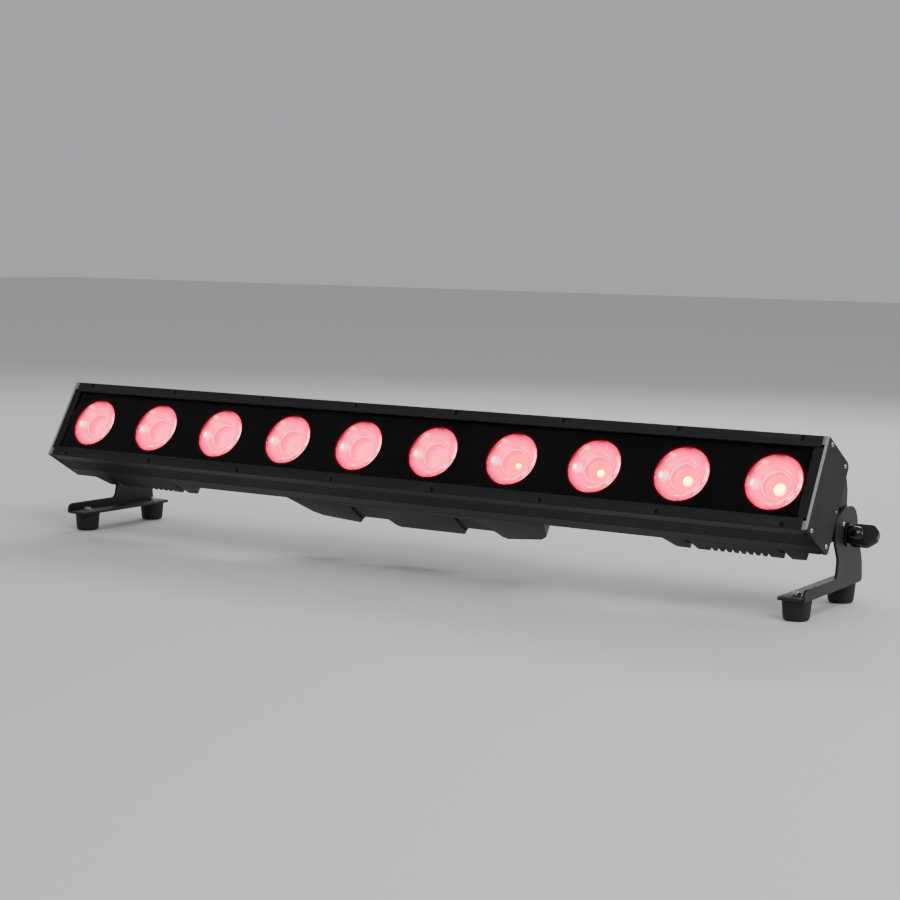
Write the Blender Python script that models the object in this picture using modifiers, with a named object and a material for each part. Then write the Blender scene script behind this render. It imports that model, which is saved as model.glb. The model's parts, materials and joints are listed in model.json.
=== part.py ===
"""LED strip batten: ten round colour cells in a metre-long housing that tilts between two floor brackets.

Units are metres, +Z is up. The origin is on the floor, in the middle of the object's footprint.
The housing is drawn in its own frame, the empty "housing_frame": X along the bar, Y is depth counted
backwards from the front face, and Z runs up the front face. That empty leans back by TILT about the pivot.
"""

import math

import bmesh
import bpy
from mathutils import Vector

MM = 0.001
GAP = 0.3 * MM  # between pieces that touch
RUNNING = 0.1 * MM  # around a shaft that turns, or a cap that slides

# ---------------------------------------------------------------- driving dimensions
TILT = math.radians(30.5)  # how far the front looks up from the horizontal

# housing
BODY_LENGTH = 997 * MM  # over the two end plates
BODY_HEIGHT = 101 * MM
BODY_DEPTH = 65.7 * MM  # end plates, front to back
WALL = 3 * MM  # housing's top and bottom walls
END_PLATE = 3 * MM
LUG = 3 * MM  # how far an end plate's corner lugs stand inwards
LUG_HEIGHT = 9.5 * MM
LUG_DEPTH = 9 * MM
HOUSING_REAR = 58 * MM  # depth of the housing's rear edge
WEB_FRONT = 35 * MM  # depth of the web that carries the light engine
WEB = 3 * MM
LIP = 3.1 * MM  # ledge behind the retainers
LIP_REACH = 14.2 * MM  # how far the ledge stands in from the outside
GROOVE_COUNT = 9
GROOVE_PITCH = 3 * MM
GROOVE_WIDTH = 1.4 * MM
GROOVE_DEPTH = 0.8 * MM
GROOVE_START = 14.3 * MM

# cells
CELL_COUNT = 10
CELL_PITCH = 100 * MM
APERTURE_RADIUS = 30.2 * MM
LENS_RADIUS = 32 * MM
LENS_SIDES = 24
THROAT_RADIUS = 13 * MM
EMITTER_RADIUS = 11 * MM

# front window and what holds it
RETAINER_FACE = 12.2 * MM  # width of a retainer's face
RETAINER_DEPTH = 12.6 * MM
RETAINER_LENGTH = 984.4 * MM
RETAINER_SEAT = 7.3 * MM  # solid part of the retainer, beside the glass
RETAINER_LIP = 1.8 * MM
SCREW_COUNT = 8
SCREW_PITCH = 134.6 * MM
SCREW_INSET = 4 * MM  # from the retainer's outer edge
COUNTERSINK_RADIUS = 3.1 * MM
GLASS = 4 * MM
GLASS_LENGTH = 978 * MM
STRIP_INNER = 486 * MM  # visible edge of a side strip, from the middle
GASKET_WIDTH = 3.2 * MM
MASK_DEPTH = 7.4 * MM
MASK = 1 * MM

# rear covers
PAN = 3.2 * MM
HUMP_BASE = 178 * MM  # half-length of the driver housing at its foot
HUMP_SHOULDER = 160 * MM  # half-length where its end wall turns
HUMP_HEIGHT = 94 * MM
HUMP_DEPTH = 127 * MM  # depth of its rear face
HUMP_SHOULDER_DEPTH = 117 * MM
HUMP_WALL = 2.6 * MM
RECESS_INNER = 55 * MM  # the two recesses between the three pods
RECESS_OUTER = 87 * MM
RECESS_STEP = 14 * MM
RECESS_SIDE = 2.6 * MM
POD_EDGE = 44 * MM
POD_OUTER_EDGE = 101 * MM
VENT_CENTRE = 396 * MM
VENT_BASE = 85 * MM  # half-length at the foot
VENT_TOP = 72 * MM  # half-length at the rear face
VENT_DEPTH = 92 * MM
VENT_NOTCH = 52 * MM  # from the vent housing's middle
VENT_NOTCH_WIDTH = 6 * MM
SLOT_COUNT = 9
SLOT_PITCH = 7.9 * MM
SLOT_WIDTH = 4.2 * MM
SLOT_REACH = 8 * MM  # how far the slots wrap down the vent housing's sides

# pivots, brackets, feet and knobs
PIVOT_DEPTH = 127 * MM
PIVOT_HEIGHT = 75.8 * MM  # above the floor
CHEEK_OUTER = 486 * MM
CHEEK = 4 * MM
BOSS_RADIUS = 16 * MM
STUD_RADIUS = 4 * MM
STUD_LENGTH = 18 * MM  # beyond the cheek
BRACKET_INNER = 486.6 * MM
BRACKET = 3 * MM
HEAD_RADIUS = 28.2 * MM
FLANGE_WIDTH = 30 * MM
WEB_HEIGHT = 12 * MM  # bar of the bracket, flange included
BAR_FRONT = -110.5 * MM  # along the floor, from the pivot
BAR_REAR = 47.5 * MM
FOOT_HEIGHT = 21 * MM
FOOT_TOP_RADIUS = 15 * MM
FOOT_BOTTOM_RADIUS = 13 * MM
FOOT_FRONT = -91.2 * MM
FOOT_REAR = 29.3 * MM
FOOT_INSET = 16 * MM  # foot centre, in from the bracket's outer face
HANGING_HOLE = 6.5 * MM  # radius of the hole for a hanging clamp's bolt
BOLT_RADIUS = 2.5 * MM
BOLT_TIP = 4 * MM
WASHER_RADIUS = 12.5 * MM
WASHER = 2 * MM
HUB_RADIUS = 9.5 * MM
HUB_LENGTH = 12 * MM
KNOB_LENGTH = 30.5 * MM
WING_SPAN = 27.6 * MM
WING = 6 * MM
WING_LEAN = math.radians(-48)  # how far the wing is turned back from upright

# controls, connectors and fans
PANEL = 1.5 * MM
PANEL_WIDTH = 78 * MM
PANEL_HEIGHT = 66 * MM
DISPLAY_WIDTH = 44 * MM
DISPLAY_HEIGHT = 20 * MM
DISPLAY_RISE = 14 * MM
BUTTON_RADIUS = 4 * MM
BUTTON_PITCH = 15 * MM
BUTTON_DROP = 15 * MM
BUTTON_PROUD = 2 * MM
CONNECTOR_SPACING = 40 * MM
FLANGE_W = 26 * MM
FLANGE_H = 31 * MM
CONNECTOR_FLANGE = 2.4 * MM
LATCH_PROUD = 1.2 * MM
SOCKET_RADIUS = 9.5 * MM
BARREL_RADIUS = 11.5 * MM
SOCKET_DEPTH = 15 * MM
CORE_RADIUS = 6.8 * MM
BARREL_LENGTH = 20 * MM
FAN_SIDE = 78 * MM
FAN_DEPTH = 18 * MM
FAN_BORE = 37 * MM
FAN_START = 66 * MM
FAN_SHAFT = 1.5 * MM
HUB_FAN_RADIUS = 16 * MM
BLADE_COUNT = 7

# ---------------------------------------------------------------- derived places
HALF_H = BODY_HEIGHT / 2
STUD_BORE = STUD_RADIUS + RUNNING
BUTTON_BORE = BUTTON_RADIUS + RUNNING + 0.05 * MM
PLATE_INNER = BODY_LENGTH / 2 - END_PLATE
HOUSING_HALF = PLATE_INNER - GAP
FLANGE_BOTTOM = FOOT_HEIGHT - PIVOT_HEIGHT  # from the pivot
FOOTPRINT_FRONT = -PIVOT_DEPTH * math.cos(TILT) - HALF_H * math.sin(TILT)  # from the pivot
PIVOT_Y = -(FOOTPRINT_FRONT + BAR_REAR) / 2
BRACKET_OUTER = BRACKET_INNER + BRACKET
PAN_REAR = HOUSING_REAR + GAP + PAN
COVER_FRONT = PAN_REAR + GAP
CELL_X = [(i - (CELL_COUNT - 1) / 2) * CELL_PITCH for i in range(CELL_COUNT)]

# ---------------------------------------------------------------- scene and collections
for old in list(bpy.data.objects):
    bpy.data.objects.remove(old)

parts = bpy.data.collections.new("led_strip_batten")
cutters = bpy.data.collections.new("cutters")
bpy.context.scene.collection.children.link(parts)
bpy.context.scene.collection.children.link(cutters)


def new_material(name, colour, roughness, metallic=0.0):
    made = bpy.data.materials.new(name)
    made.use_nodes = True
    shader = made.node_tree.nodes["Principled BSDF"]
    shader.inputs["Base Color"].default_value = (*colour, 1)
    shader.inputs["Roughness"].default_value = roughness
    shader.inputs["Metallic"].default_value = metallic
    made.diffuse_color = (*colour, 1)
    return made


BLACK_PAINT = new_material("black_powder_coat", (0.022, 0.023, 0.026), 0.5)
GREY_PAINT = new_material("bracket_powder_coat", (0.045, 0.048, 0.055), 0.5)
BLACK_PLASTIC = new_material("gloss_black_plastic", (0.01, 0.01, 0.011), 0.2)
MATT_PLASTIC = new_material("matt_black_plastic", (0.012, 0.012, 0.012), 0.6)
RUBBER = new_material("grey_rubber", (0.05, 0.05, 0.052), 0.8)
GASKET_RUBBER = new_material("black_rubber", (0.01, 0.01, 0.01), 0.9)
GLASS_MATERIAL = new_material("tempered_glass", (0.02, 0.02, 0.02), 0.05)
LENS_MATERIAL = new_material("lit_lens", (0.9, 0.35, 0.35), 0.2)
REFLECTOR = new_material("metallised_reflector", (0.7, 0.7, 0.7), 0.2, 1.0)
BOARD = new_material("white_circuit_board", (0.7, 0.7, 0.66), 0.5)
GREEN_BOARD = new_material("green_circuit_board", (0.02, 0.12, 0.05), 0.5)
BARE_ALUMINIUM = new_material("bare_aluminium", (0.6, 0.6, 0.62), 0.35, 1.0)
STEEL = new_material("zinc_plated_steel", (0.6, 0.6, 0.6), 0.3, 1.0)
DISPLAY = new_material("display_glass", (0.01, 0.03, 0.06), 0.1)


# ---------------------------------------------------------------- outlines
def rounded(corners, steps=4):
    """Points of a closed outline whose corners, given as (a, b, radius), are replaced by arcs."""
    points = []
    for i, (a, b, radius) in enumerate(corners):
        here = Vector((a, b))
        if radius <= 0:
            points.append(here)
            continue
        back = (Vector(corners[i - 1][:2]) - here).normalized()
        ahead = (Vector(corners[(i + 1) % len(corners)][:2]) - here).normalized()
        half_angle = back.angle(ahead) / 2
        centre = here + (back + ahead).normalized() * radius / math.sin(half_angle)
        start = here + back * radius / math.tan(half_angle) - centre
        end = here + ahead * radius / math.tan(half_angle) - centre
        turn = start.angle_signed(end)
        for step in range(steps + 1):
            angle = -turn * step / steps
            points.append(centre + Vector((
                start.x * math.cos(angle) - start.y * math.sin(angle),
                start.x * math.sin(angle) + start.y * math.cos(angle),
            )))
    return points


def rectangle(width, height, radius=0.0, centre=(0.0, 0.0)):
    a, b = width / 2, height / 2
    corners = ((-a, -b), (a, -b), (a, b), (-a, b))
    return rounded([(centre[0] + x, centre[1] + y, radius) for x, y in corners])


def circle(radius, sides, centre=(0.0, 0.0)):
    turn = 2 * math.pi / sides
    return [
        Vector((centre[0] + radius * math.cos(i * turn), centre[1] + radius * math.sin(i * turn)))
        for i in range(sides)
    ]


# ---------------------------------------------------------------- pieces
# how an outline's own plane lies in the frame that it is placed in
ACROSS = (math.pi / 2, 0, math.pi / 2)  # outline in depth and height, extruded along the bar
FACING = (math.pi / 2, 0, 0)  # outline in length and height, extruded in depth
LYING = (0, 0, 0)  # outline in length and depth, extruded upwards


def place(piece, location, parent=None, rotation=(0, 0, 0)):
    piece.location = location
    piece.rotation_euler = rotation
    piece.parent = parent
    return piece


def empty(name, location, rotation=(0, 0, 0), parent=None):
    made = bpy.data.objects.new(name, None)
    parts.objects.link(made)
    return place(made, location, parent, rotation)


def mesh_piece(name, fill, material=None, smooth=False):
    """A new object whose mesh is made by fill, a function that is given the bmesh."""
    mesh = bpy.data.meshes.new(name)
    bm = bmesh.new()
    fill(bm)
    bmesh.ops.recalc_face_normals(bm, faces=bm.faces)
    bm.to_mesh(mesh)
    bm.free()
    if smooth:
        mesh.shade_smooth()
        mesh.set_sharp_from_angle(angle=math.radians(35))
    made = bpy.data.objects.new(name, mesh)
    if material:
        mesh.materials.append(material)
        parts.objects.link(made)
    else:
        cutters.objects.link(made)
        made.hide_render = True
        made.display_type = "WIRE"
    return made


def extrusion(name, outlines, thickness, material=None):
    """A flat outline, with any holes after it, given a thickness, as a mesh with its caps welded."""
    curve = bpy.data.curves.new(name, "CURVE")
    curve.dimensions = "2D"
    curve.fill_mode = "BOTH"
    curve.extrude = thickness / 2
    for outline in outlines:
        spline = curve.splines.new("POLY")
        spline.points.add(len(outline) - 1)
        for point, place_2d in zip(spline.points, outline):
            point.co = (place_2d[0], place_2d[1], 0, 1)
        spline.use_cyclic_u = True
    flat = bpy.data.objects.new(name, curve)
    bpy.context.scene.collection.objects.link(flat)
    bpy.context.view_layer.update()
    seen = flat.evaluated_get(bpy.context.evaluated_depsgraph_get())
    solid = bpy.data.meshes.new_from_object(seen)
    bpy.data.objects.remove(flat)

    def weld(bm):
        bm.from_mesh(solid)
        bmesh.ops.remove_doubles(bm, verts=bm.verts, dist=1e-6)
        flat_edges = [e for e in bm.edges if len(e.link_faces) == 2 and e.calc_face_angle(1) < 1e-4]
        bmesh.ops.dissolve_edges(bm, edges=flat_edges, use_verts=False)

    made = mesh_piece(name, weld, material)
    bpy.data.meshes.remove(solid)
    return made


def box(name, size, material=None):
    def fill(bm):
        bmesh.ops.create_cube(bm, size=1)
        bmesh.ops.scale(bm, vec=size, verts=bm.verts)

    return mesh_piece(name, fill, material)


def cone(name, radius_low, radius_high, height, sides, material=None):
    """Stands on its own XY plane's middle, along its own Z."""
    return mesh_piece(
        name,
        lambda bm: bmesh.ops.create_cone(
            bm, cap_ends=True, segments=sides, radius1=radius_low, radius2=radius_high, depth=height
        ),
        material,
        smooth=True,
    )


def turned(name, profile, sides, material=None):
    """A profile of (radius, height), from the top down its outer side, spun about its own Z."""
    return spin(mesh_piece(name, lambda bm: draw_profile(bm, profile), material), sides)


def spin(piece, sides):
    screw = piece.modifiers.new("turn", "SCREW")
    screw.steps = sides
    screw.render_steps = sides
    screw.use_merge_vertices = True
    screw.merge_threshold = 1e-5
    screw.use_smooth_shade = True
    return piece


def draw_profile(bm, profile):
    points = [bm.verts.new((radius, 0, height)) for radius, height in profile]
    for first, second in zip(points, points[1:]):
        bm.edges.new((first, second))


def combine(piece, other, operation):
    """Cuts or joins at once, and takes the other piece out of the scene."""
    bpy.context.view_layer.update()
    modifier = piece.modifiers.new(operation.lower(), "BOOLEAN")
    modifier.operation = operation
    modifier.object = other
    bpy.context.view_layer.update()
    seen = piece.evaluated_get(bpy.context.evaluated_depsgraph_get())
    solid = bpy.data.meshes.new_from_object(seen)
    piece.modifiers.clear()
    old = piece.data
    piece.data = solid
    bpy.data.meshes.remove(old)
    bpy.data.objects.remove(other)
    return piece


def cut(piece, cutter):
    return combine(piece, cutter, "DIFFERENCE")


def join(piece, addition):
    return combine(piece, addition, "UNION")


def soften(piece, width):
    """A small chamfer on every sharp edge that the piece has so far."""
    bevel = piece.modifiers.new("soften", "BEVEL")
    bevel.width = width
    bevel.segments = 1
    bevel.limit_method = "ANGLE"
    bevel.angle_limit = math.radians(40)
    return piece


# ---------------------------------------------------------------- frames
pivot = empty("pivot_axis", (0, PIVOT_Y, PIVOT_HEIGHT))
tilted = empty("tilt", (0, 0, 0), (-TILT, 0, 0), pivot)
housing_frame = empty("housing_frame", (0, -PIVOT_DEPTH, 0), parent=tilted)


# ---------------------------------------------------------------- housing
def grooved_edge():
    """The wall's outer edge from front to back, with its band of fine grooves."""
    front = RETAINER_DEPTH + GAP
    points = [(front, HALF_H)]
    for i in range(GROOVE_COUNT):
        start = GROOVE_START + i * GROOVE_PITCH
        points += [
            (start, HALF_H),
            (start + GROOVE_DEPTH / 4, HALF_H - GROOVE_DEPTH),
            (start + GROOVE_WIDTH, HALF_H - GROOVE_DEPTH),
            (start + GROOVE_WIDTH + GROOVE_DEPTH / 4, HALF_H),
        ]
    points.append((HOUSING_REAR, HALF_H))
    return points


def make_main_housing():
    front = RETAINER_DEPTH + GAP
    inside = HALF_H - WALL
    lip_edge = HALF_H - LIP_REACH
    web_rear = WEB_FRONT + WEB
    upper = grooved_edge() + [(HOUSING_REAR, inside), (web_rear, inside)]
    lower = [(a, -b) for a, b in reversed(upper)]
    inner = [
        (front, -lip_edge), (front + LIP, -lip_edge), (front + LIP, -inside), (WEB_FRONT, -inside),
        (WEB_FRONT, inside), (front + LIP, inside), (front + LIP, lip_edge), (front, lip_edge),
    ]
    made = extrusion("main_housing", [upper + lower + inner], 2 * HOUSING_HALF, BLACK_PAINT)
    place(made, (0, 0, 0), housing_frame, ACROSS)


def make_end_plate(side, name):
    outline = rounded([
        (0, -HALF_H, 2 * MM), (BODY_DEPTH, -HALF_H, 6 * MM),
        (BODY_DEPTH, HALF_H, 6 * MM), (0, HALF_H, 2 * MM),
    ])
    made = extrusion(name, [outline], END_PLATE, BLACK_PAINT)
    place(made, (side * (PLATE_INNER + END_PLATE / 2), 0, 0), housing_frame, ACROSS)
    for up in (-1, 1):
        lug = box("lug", (LUG + END_PLATE / 2, LUG_DEPTH, LUG_HEIGHT))
        depth = LUG_DEPTH / 2 + 0.2 * MM
        height = up * (HALF_H - LUG_HEIGHT / 2 - 0.2 * MM)
        place(lug, (side * (PLATE_INNER - LUG / 2 + END_PLATE / 4), depth, height), housing_frame)
        join(made, lug)
    soften(made, 0.5 * MM)


def make_retainer(up, name):
    edge = HALF_H - RETAINER_FACE
    seat = HALF_H - RETAINER_SEAT
    outline = rounded([
        (0, edge, 0), (0, HALF_H, 0.8 * MM), (RETAINER_DEPTH, HALF_H, 0), (RETAINER_DEPTH, seat, 0),
        (RETAINER_LIP, seat, 0), (RETAINER_LIP, edge, 0),
    ], 2)
    if up < 0:
        outline = [(a, -b) for a, b in outline]
    made = extrusion(name, [outline], RETAINER_LENGTH, BLACK_PAINT)
    place(made, (0, 0, 0), housing_frame, ACROSS)
    for i in range(SCREW_COUNT):
        x = (i - (SCREW_COUNT - 1) / 2) * SCREW_PITCH
        sink = cone("countersink", COUNTERSINK_RADIUS * 0.45, COUNTERSINK_RADIUS * 1.15, 3 * MM, 14)
        place(sink, (x, 1.1 * MM, up * (HALF_H - SCREW_INSET)), housing_frame, FACING)
        cut(made, sink)


def make_side_strip(side, name):
    glass_edge = GLASS_LENGTH / 2 + 0.4 * MM
    outline = [
        (STRIP_INNER, 0.4 * MM), (HOUSING_HALF, 0.4 * MM), (HOUSING_HALF, RETAINER_DEPTH),
        (glass_edge, RETAINER_DEPTH), (glass_edge, RETAINER_LIP), (STRIP_INNER, RETAINER_LIP),
    ]
    height = 2 * (HALF_H - RETAINER_FACE - 0.4 * MM)
    made = extrusion(name, [[(side * a, b) for a, b in outline]], height, BLACK_PAINT)
    place(made, (0, 0, 0), housing_frame, LYING)


def glass_half_height():
    return HALF_H - RETAINER_SEAT - 0.4 * MM


def make_window():
    outline = rectangle(GLASS_LENGTH, 2 * glass_half_height(), 1 * MM)
    made = extrusion("front_window", [outline], GLASS, GLASS_MATERIAL)
    place(made, (0, RETAINER_LIP + GAP + GLASS / 2, 0), housing_frame, FACING)

    start = RETAINER_LIP + GLASS + 2 * GAP
    thickness = RETAINER_DEPTH - start
    outer = rectangle(GLASS_LENGTH, 2 * glass_half_height(), 1 * MM)
    inner = rectangle(
        GLASS_LENGTH - 4 * GASKET_WIDTH, 2 * (glass_half_height() - GASKET_WIDTH), 1 * MM
    )
    gasket = extrusion("window_gasket", [outer, inner], thickness, GASKET_RUBBER)
    place(gasket, (0, start + thickness / 2, 0), housing_frame, FACING)


def make_cell_mask():
    width = GLASS_LENGTH - 4 * GASKET_WIDTH - 1 * MM
    height = 2 * (glass_half_height() - GASKET_WIDTH - 0.4 * MM)
    holes = [circle(APERTURE_RADIUS, 28, (x, 0)) for x in CELL_X]
    made = extrusion("cell_mask", [rectangle(width, height)] + holes, MASK, MATT_PLASTIC)
    place(made, (0, MASK_DEPTH + MASK / 2, 0), housing_frame, FACING)


LENS_FRONT = MASK_DEPTH + MASK + GAP
TRAY_FRONT = LENS_FRONT + 2.3 * MM
TRAY_REAR = 31 * MM


def make_lenses():
    """Each lens is a flat-fronted disc with a flange that rests on the tray, and a bulging back."""
    profile = [(0, 0), (LENS_RADIUS - 0.4 * MM, 0), (LENS_RADIUS, -0.4 * MM), (LENS_RADIUS, -2 * MM)]
    bulge_radius = APERTURE_RADIUS - 2.5 * MM
    for i in range(4):
        angle = math.pi / 2 * i / 3
        profile.append((bulge_radius * math.cos(angle), -2 * MM - 5 * MM * math.sin(angle)))
    first = turned("lens_01", profile, LENS_SIDES, LENS_MATERIAL)
    for i, x in enumerate(CELL_X):
        lens = first
        if i > 0:
            lens = spin(bpy.data.objects.new(f"lens_{i + 1:02d}", first.data), LENS_SIDES)
            parts.objects.link(lens)
        place(lens, (x, LENS_FRONT, 0), housing_frame, FACING)


def make_reflector_tray():
    height = 2 * (HALF_H - LIP_REACH - 0.4 * MM)
    width = GLASS_LENGTH - 4 * GASKET_WIDTH
    depth = TRAY_REAR - TRAY_FRONT
    made = box("reflector_tray", (width, depth, height), REFLECTOR)
    place(made, (0, TRAY_FRONT + depth / 2, 0), housing_frame)
    mouth = APERTURE_RADIUS - 0.8 * MM
    over = 1 * MM
    slope = (mouth - THROAT_RADIUS) / depth
    for x in CELL_X:
        bore = cone(
            "bore", THROAT_RADIUS - slope * over, mouth + slope * over, depth + 2 * over, 24
        )
        place(bore, (x, TRAY_FRONT + depth / 2, 0), housing_frame, FACING)
        cut(made, bore)
    wall = 3 * MM
    pocket = CELL_PITCH - 2 * (APERTURE_RADIUS + wall)
    for first, second in zip(CELL_X, CELL_X[1:]):
        hollow = box("pocket", (pocket, depth, height - 2 * wall))
        place(hollow, ((first + second) / 2, TRAY_FRONT + depth / 2 + wall, 0), housing_frame)
        cut(made, hollow)


def make_led_board():
    thickness = 1.5 * MM
    middle = WEB_FRONT - GAP - thickness / 2
    made = box("led_board", (GLASS_LENGTH - 4 * GASKET_WIDTH, thickness, 60 * MM), BOARD)
    place(made, (0, middle, 0), housing_frame)
    for x in CELL_X:
        emitter = cone("emitter", EMITTER_RADIUS, EMITTER_RADIUS * 0.9, 2.5 * MM, 16)
        place(emitter, (x, middle - 1.4 * MM, 0), housing_frame, FACING)
        join(made, emitter)


def make_heatsink():
    start = WEB_FRONT + WEB + GAP
    base = 3 * MM
    reach = HALF_H - WALL - 1 * MM
    count = 11
    fin = 1.8 * MM
    tip = HOUSING_REAR - 1.5 * MM
    pitch = (2 * reach - fin) / (count - 1)
    comb = [(start, reach), (start, -reach)]
    for i in range(count):
        low = -reach + i * pitch
        comb += [(tip, low), (tip, low + fin)]
        if i < count - 1:
            comb += [(start + base, low + fin), (start + base, low + pitch)]
    made = extrusion("heatsink", [comb], 2 * (HOUSING_HALF - 20 * MM), BARE_ALUMINIUM)
    place(made, (0, 0, 0), housing_frame, ACROSS)


# ---------------------------------------------------------------- rear covers
def make_rear_pan():
    outer = rectangle(2 * HOUSING_HALF, BODY_HEIGHT, 3 * MM)
    middle = HOUSING_REAR + GAP + PAN / 2
    made = extrusion("rear_pan", [outer], PAN, BLACK_PAINT)
    place(made, (0, middle, 0), housing_frame, FACING)
    soften(made, 0.6 * MM)
    opening = box("opening", (2 * (HUMP_SHOULDER - 20 * MM), 3 * PAN, HUMP_HEIGHT - 16 * MM))
    cut(made, place(opening, (0, middle, 0), housing_frame))
    for side in (-1, 1):
        port = cone("fan_port", FAN_BORE, FAN_BORE, 3 * PAN, 32)
        cut(made, place(port, (side * VENT_CENTRE, middle, 0), housing_frame, FACING))


def hump_half_outline(inset):
    """Right half of the driver housing seen from above: three pods with a recess between each two."""
    floor = HUMP_DEPTH - RECESS_STEP
    return [
        (POD_EDGE - inset / 2, HUMP_DEPTH - inset),
        (RECESS_INNER - inset / 2, floor - inset),
        (RECESS_OUTER + inset / 2, floor - inset),
        (POD_OUTER_EDGE + inset / 2, HUMP_DEPTH - inset),
        (HUMP_SHOULDER - 10 * MM - inset, HUMP_SHOULDER_DEPTH - inset),
        (HUMP_SHOULDER - inset, HUMP_SHOULDER_DEPTH - 10 * MM - inset),
        (HUMP_BASE - inset, COVER_FRONT),
    ]


def hump_outline(inset):
    half = hump_half_outline(inset)
    return half + [(-a, b) for a, b in reversed(half)]


def make_driver_housing():
    made = extrusion("driver_housing", [hump_outline(0)], HUMP_HEIGHT, BLACK_PAINT)
    place(made, (0, 0, 0), housing_frame, LYING)
    soften(made, 0.8 * MM)
    side_floor = HUMP_HEIGHT / 2 - RECESS_SIDE
    for side in (-1, 1):
        for up in (-1, 1):
            channel = extrusion("channel", [[
                (side * RECESS_INNER, COVER_FRONT + 16 * MM),
                (side * (POD_EDGE + 2 * MM), HUMP_DEPTH + 2 * MM),
                (side * (POD_OUTER_EDGE - 3 * MM), HUMP_DEPTH + 2 * MM),
                (side * RECESS_OUTER, COVER_FRONT + 16 * MM),
            ]], 10 * MM)
            place(channel, (0, 0, up * (side_floor + 5 * MM)), housing_frame, LYING)
            cut(made, channel)
    inner_height = 2 * (side_floor - HUMP_WALL)
    hollow = extrusion("hollow", [[
        (a, b - 1 * MM if b <= COVER_FRONT else b) for a, b in hump_outline(HUMP_WALL)
    ]], inner_height)
    place(hollow, (0, 0, 0), housing_frame, LYING)
    cut(made, hollow)
    # holes for the display, the buttons and the connectors
    rear = HUMP_DEPTH - HUMP_WALL / 2
    window = box("display_hole", (DISPLAY_WIDTH, 3 * HUMP_WALL, DISPLAY_HEIGHT))
    cut(made, place(window, (0, rear, DISPLAY_RISE), housing_frame))
    for x in button_places():
        hole = cone("button_hole", BUTTON_BORE, BUTTON_BORE, 3 * HUMP_WALL, 20)
        cut(made, place(hole, (x, rear, -BUTTON_DROP), housing_frame, FACING))
    for seat in connector_seats.values():
        hole = cone("socket_hole", BARREL_RADIUS + 0.4 * MM, BARREL_RADIUS + 0.4 * MM, 5 * HUMP_WALL, 28)
        cut(made, place(hole, (0, 0, 0), seat, FACING))


def vent_outline(inset, foot):
    """A vent housing seen from above, around its own middle: ramps, a notch each side and a flat middle."""
    notch_in = VENT_NOTCH - VENT_NOTCH_WIDTH / 2
    notch_out = VENT_NOTCH + VENT_NOTCH_WIDTH / 2
    notch_floor = VENT_DEPTH - 9 * MM
    half = [
        (notch_in - 1 * MM, VENT_DEPTH - inset),
        (notch_in, notch_floor - inset),
        (notch_out, notch_floor - inset),
        (notch_out + 1 * MM, VENT_DEPTH - inset),
        (VENT_TOP - inset, VENT_DEPTH - 1 * MM - inset),
        (VENT_BASE - inset, foot),
    ]
    return half + [(-a, b) for a, b in reversed(half)]


def make_vent_housing(side, name):
    made = extrusion(name, [vent_outline(0, COVER_FRONT)], HUMP_HEIGHT, BLACK_PAINT)
    place(made, (side * VENT_CENTRE, 0, 0), housing_frame, LYING)
    soften(made, 0.6 * MM)
    side_floor = HUMP_HEIGHT / 2 - RECESS_SIDE
    for end in (-1, 1):
        for up in (-1, 1):
            notch = box("side_notch", (VENT_NOTCH_WIDTH, 40 * MM, 10 * MM))
            where = (
                side * VENT_CENTRE + end * VENT_NOTCH,
                COVER_FRONT + 28 * MM,
                up * (side_floor + 5 * MM),
            )
            cut(made, place(notch, where, housing_frame))
    hollow_height = 2 * (side_floor - 1.4 * MM)
    hollow = extrusion("hollow", [vent_outline(HUMP_WALL, COVER_FRONT - 1 * MM)], hollow_height)
    place(hollow, (side * VENT_CENTRE, 0, 0), housing_frame, LYING)
    cut(made, hollow)
    for i in range(SLOT_COUNT):
        x = side * VENT_CENTRE + (i - (SLOT_COUNT - 1) / 2) * SLOT_PITCH
        slot = box("slot", (SLOT_WIDTH, 2 * SLOT_REACH, HUMP_HEIGHT + 2 * MM))
        cut(made, place(slot, (x, VENT_DEPTH, 0), housing_frame))


# ---------------------------------------------------------------- inside the driver housing
def make_power_supply():
    size = (108 * MM, 40 * MM, 70 * MM)
    made = box("power_supply", size, BARE_ALUMINIUM)
    place(made, (-RECESS_INNER + 3 * MM, COVER_FRONT + 3 * MM + size[1] / 2, 0), housing_frame)
    terminals = box("terminals", (14 * MM, 12 * MM, 60 * MM))
    end = -RECESS_INNER + 3 * MM + size[0] / 2 + 6 * MM
    place(terminals, (end, COVER_FRONT + 3 * MM + 6 * MM, 0), housing_frame)
    join(made, terminals)


def make_driver_board():
    made = box("driver_board", (120 * MM, 1.6 * MM, 72 * MM), GREEN_BOARD)
    centre = 85 * MM
    face = COVER_FRONT + 8 * MM
    place(made, (centre, face, 0), housing_frame)
    blocks = (
        (-40, 20, 18, 16, 14), (-10, 18, 12, 12, 10), (20, -16, 26, 26, 8),
        (46, 10, 10, 30, 12), (-38, -20, 14, 14, 18),
    )
    for x, z, width, height, tall in blocks:
        chip = box("component", (width * MM, tall * MM, height * MM))
        place(chip, (centre + x * MM, face + tall / 2 * MM + 0.4 * MM, z * MM), housing_frame)
        join(made, chip)


# ---------------------------------------------------------------- controls
def button_places():
    return [(i - 1.5) * BUTTON_PITCH for i in range(4)]


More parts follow.
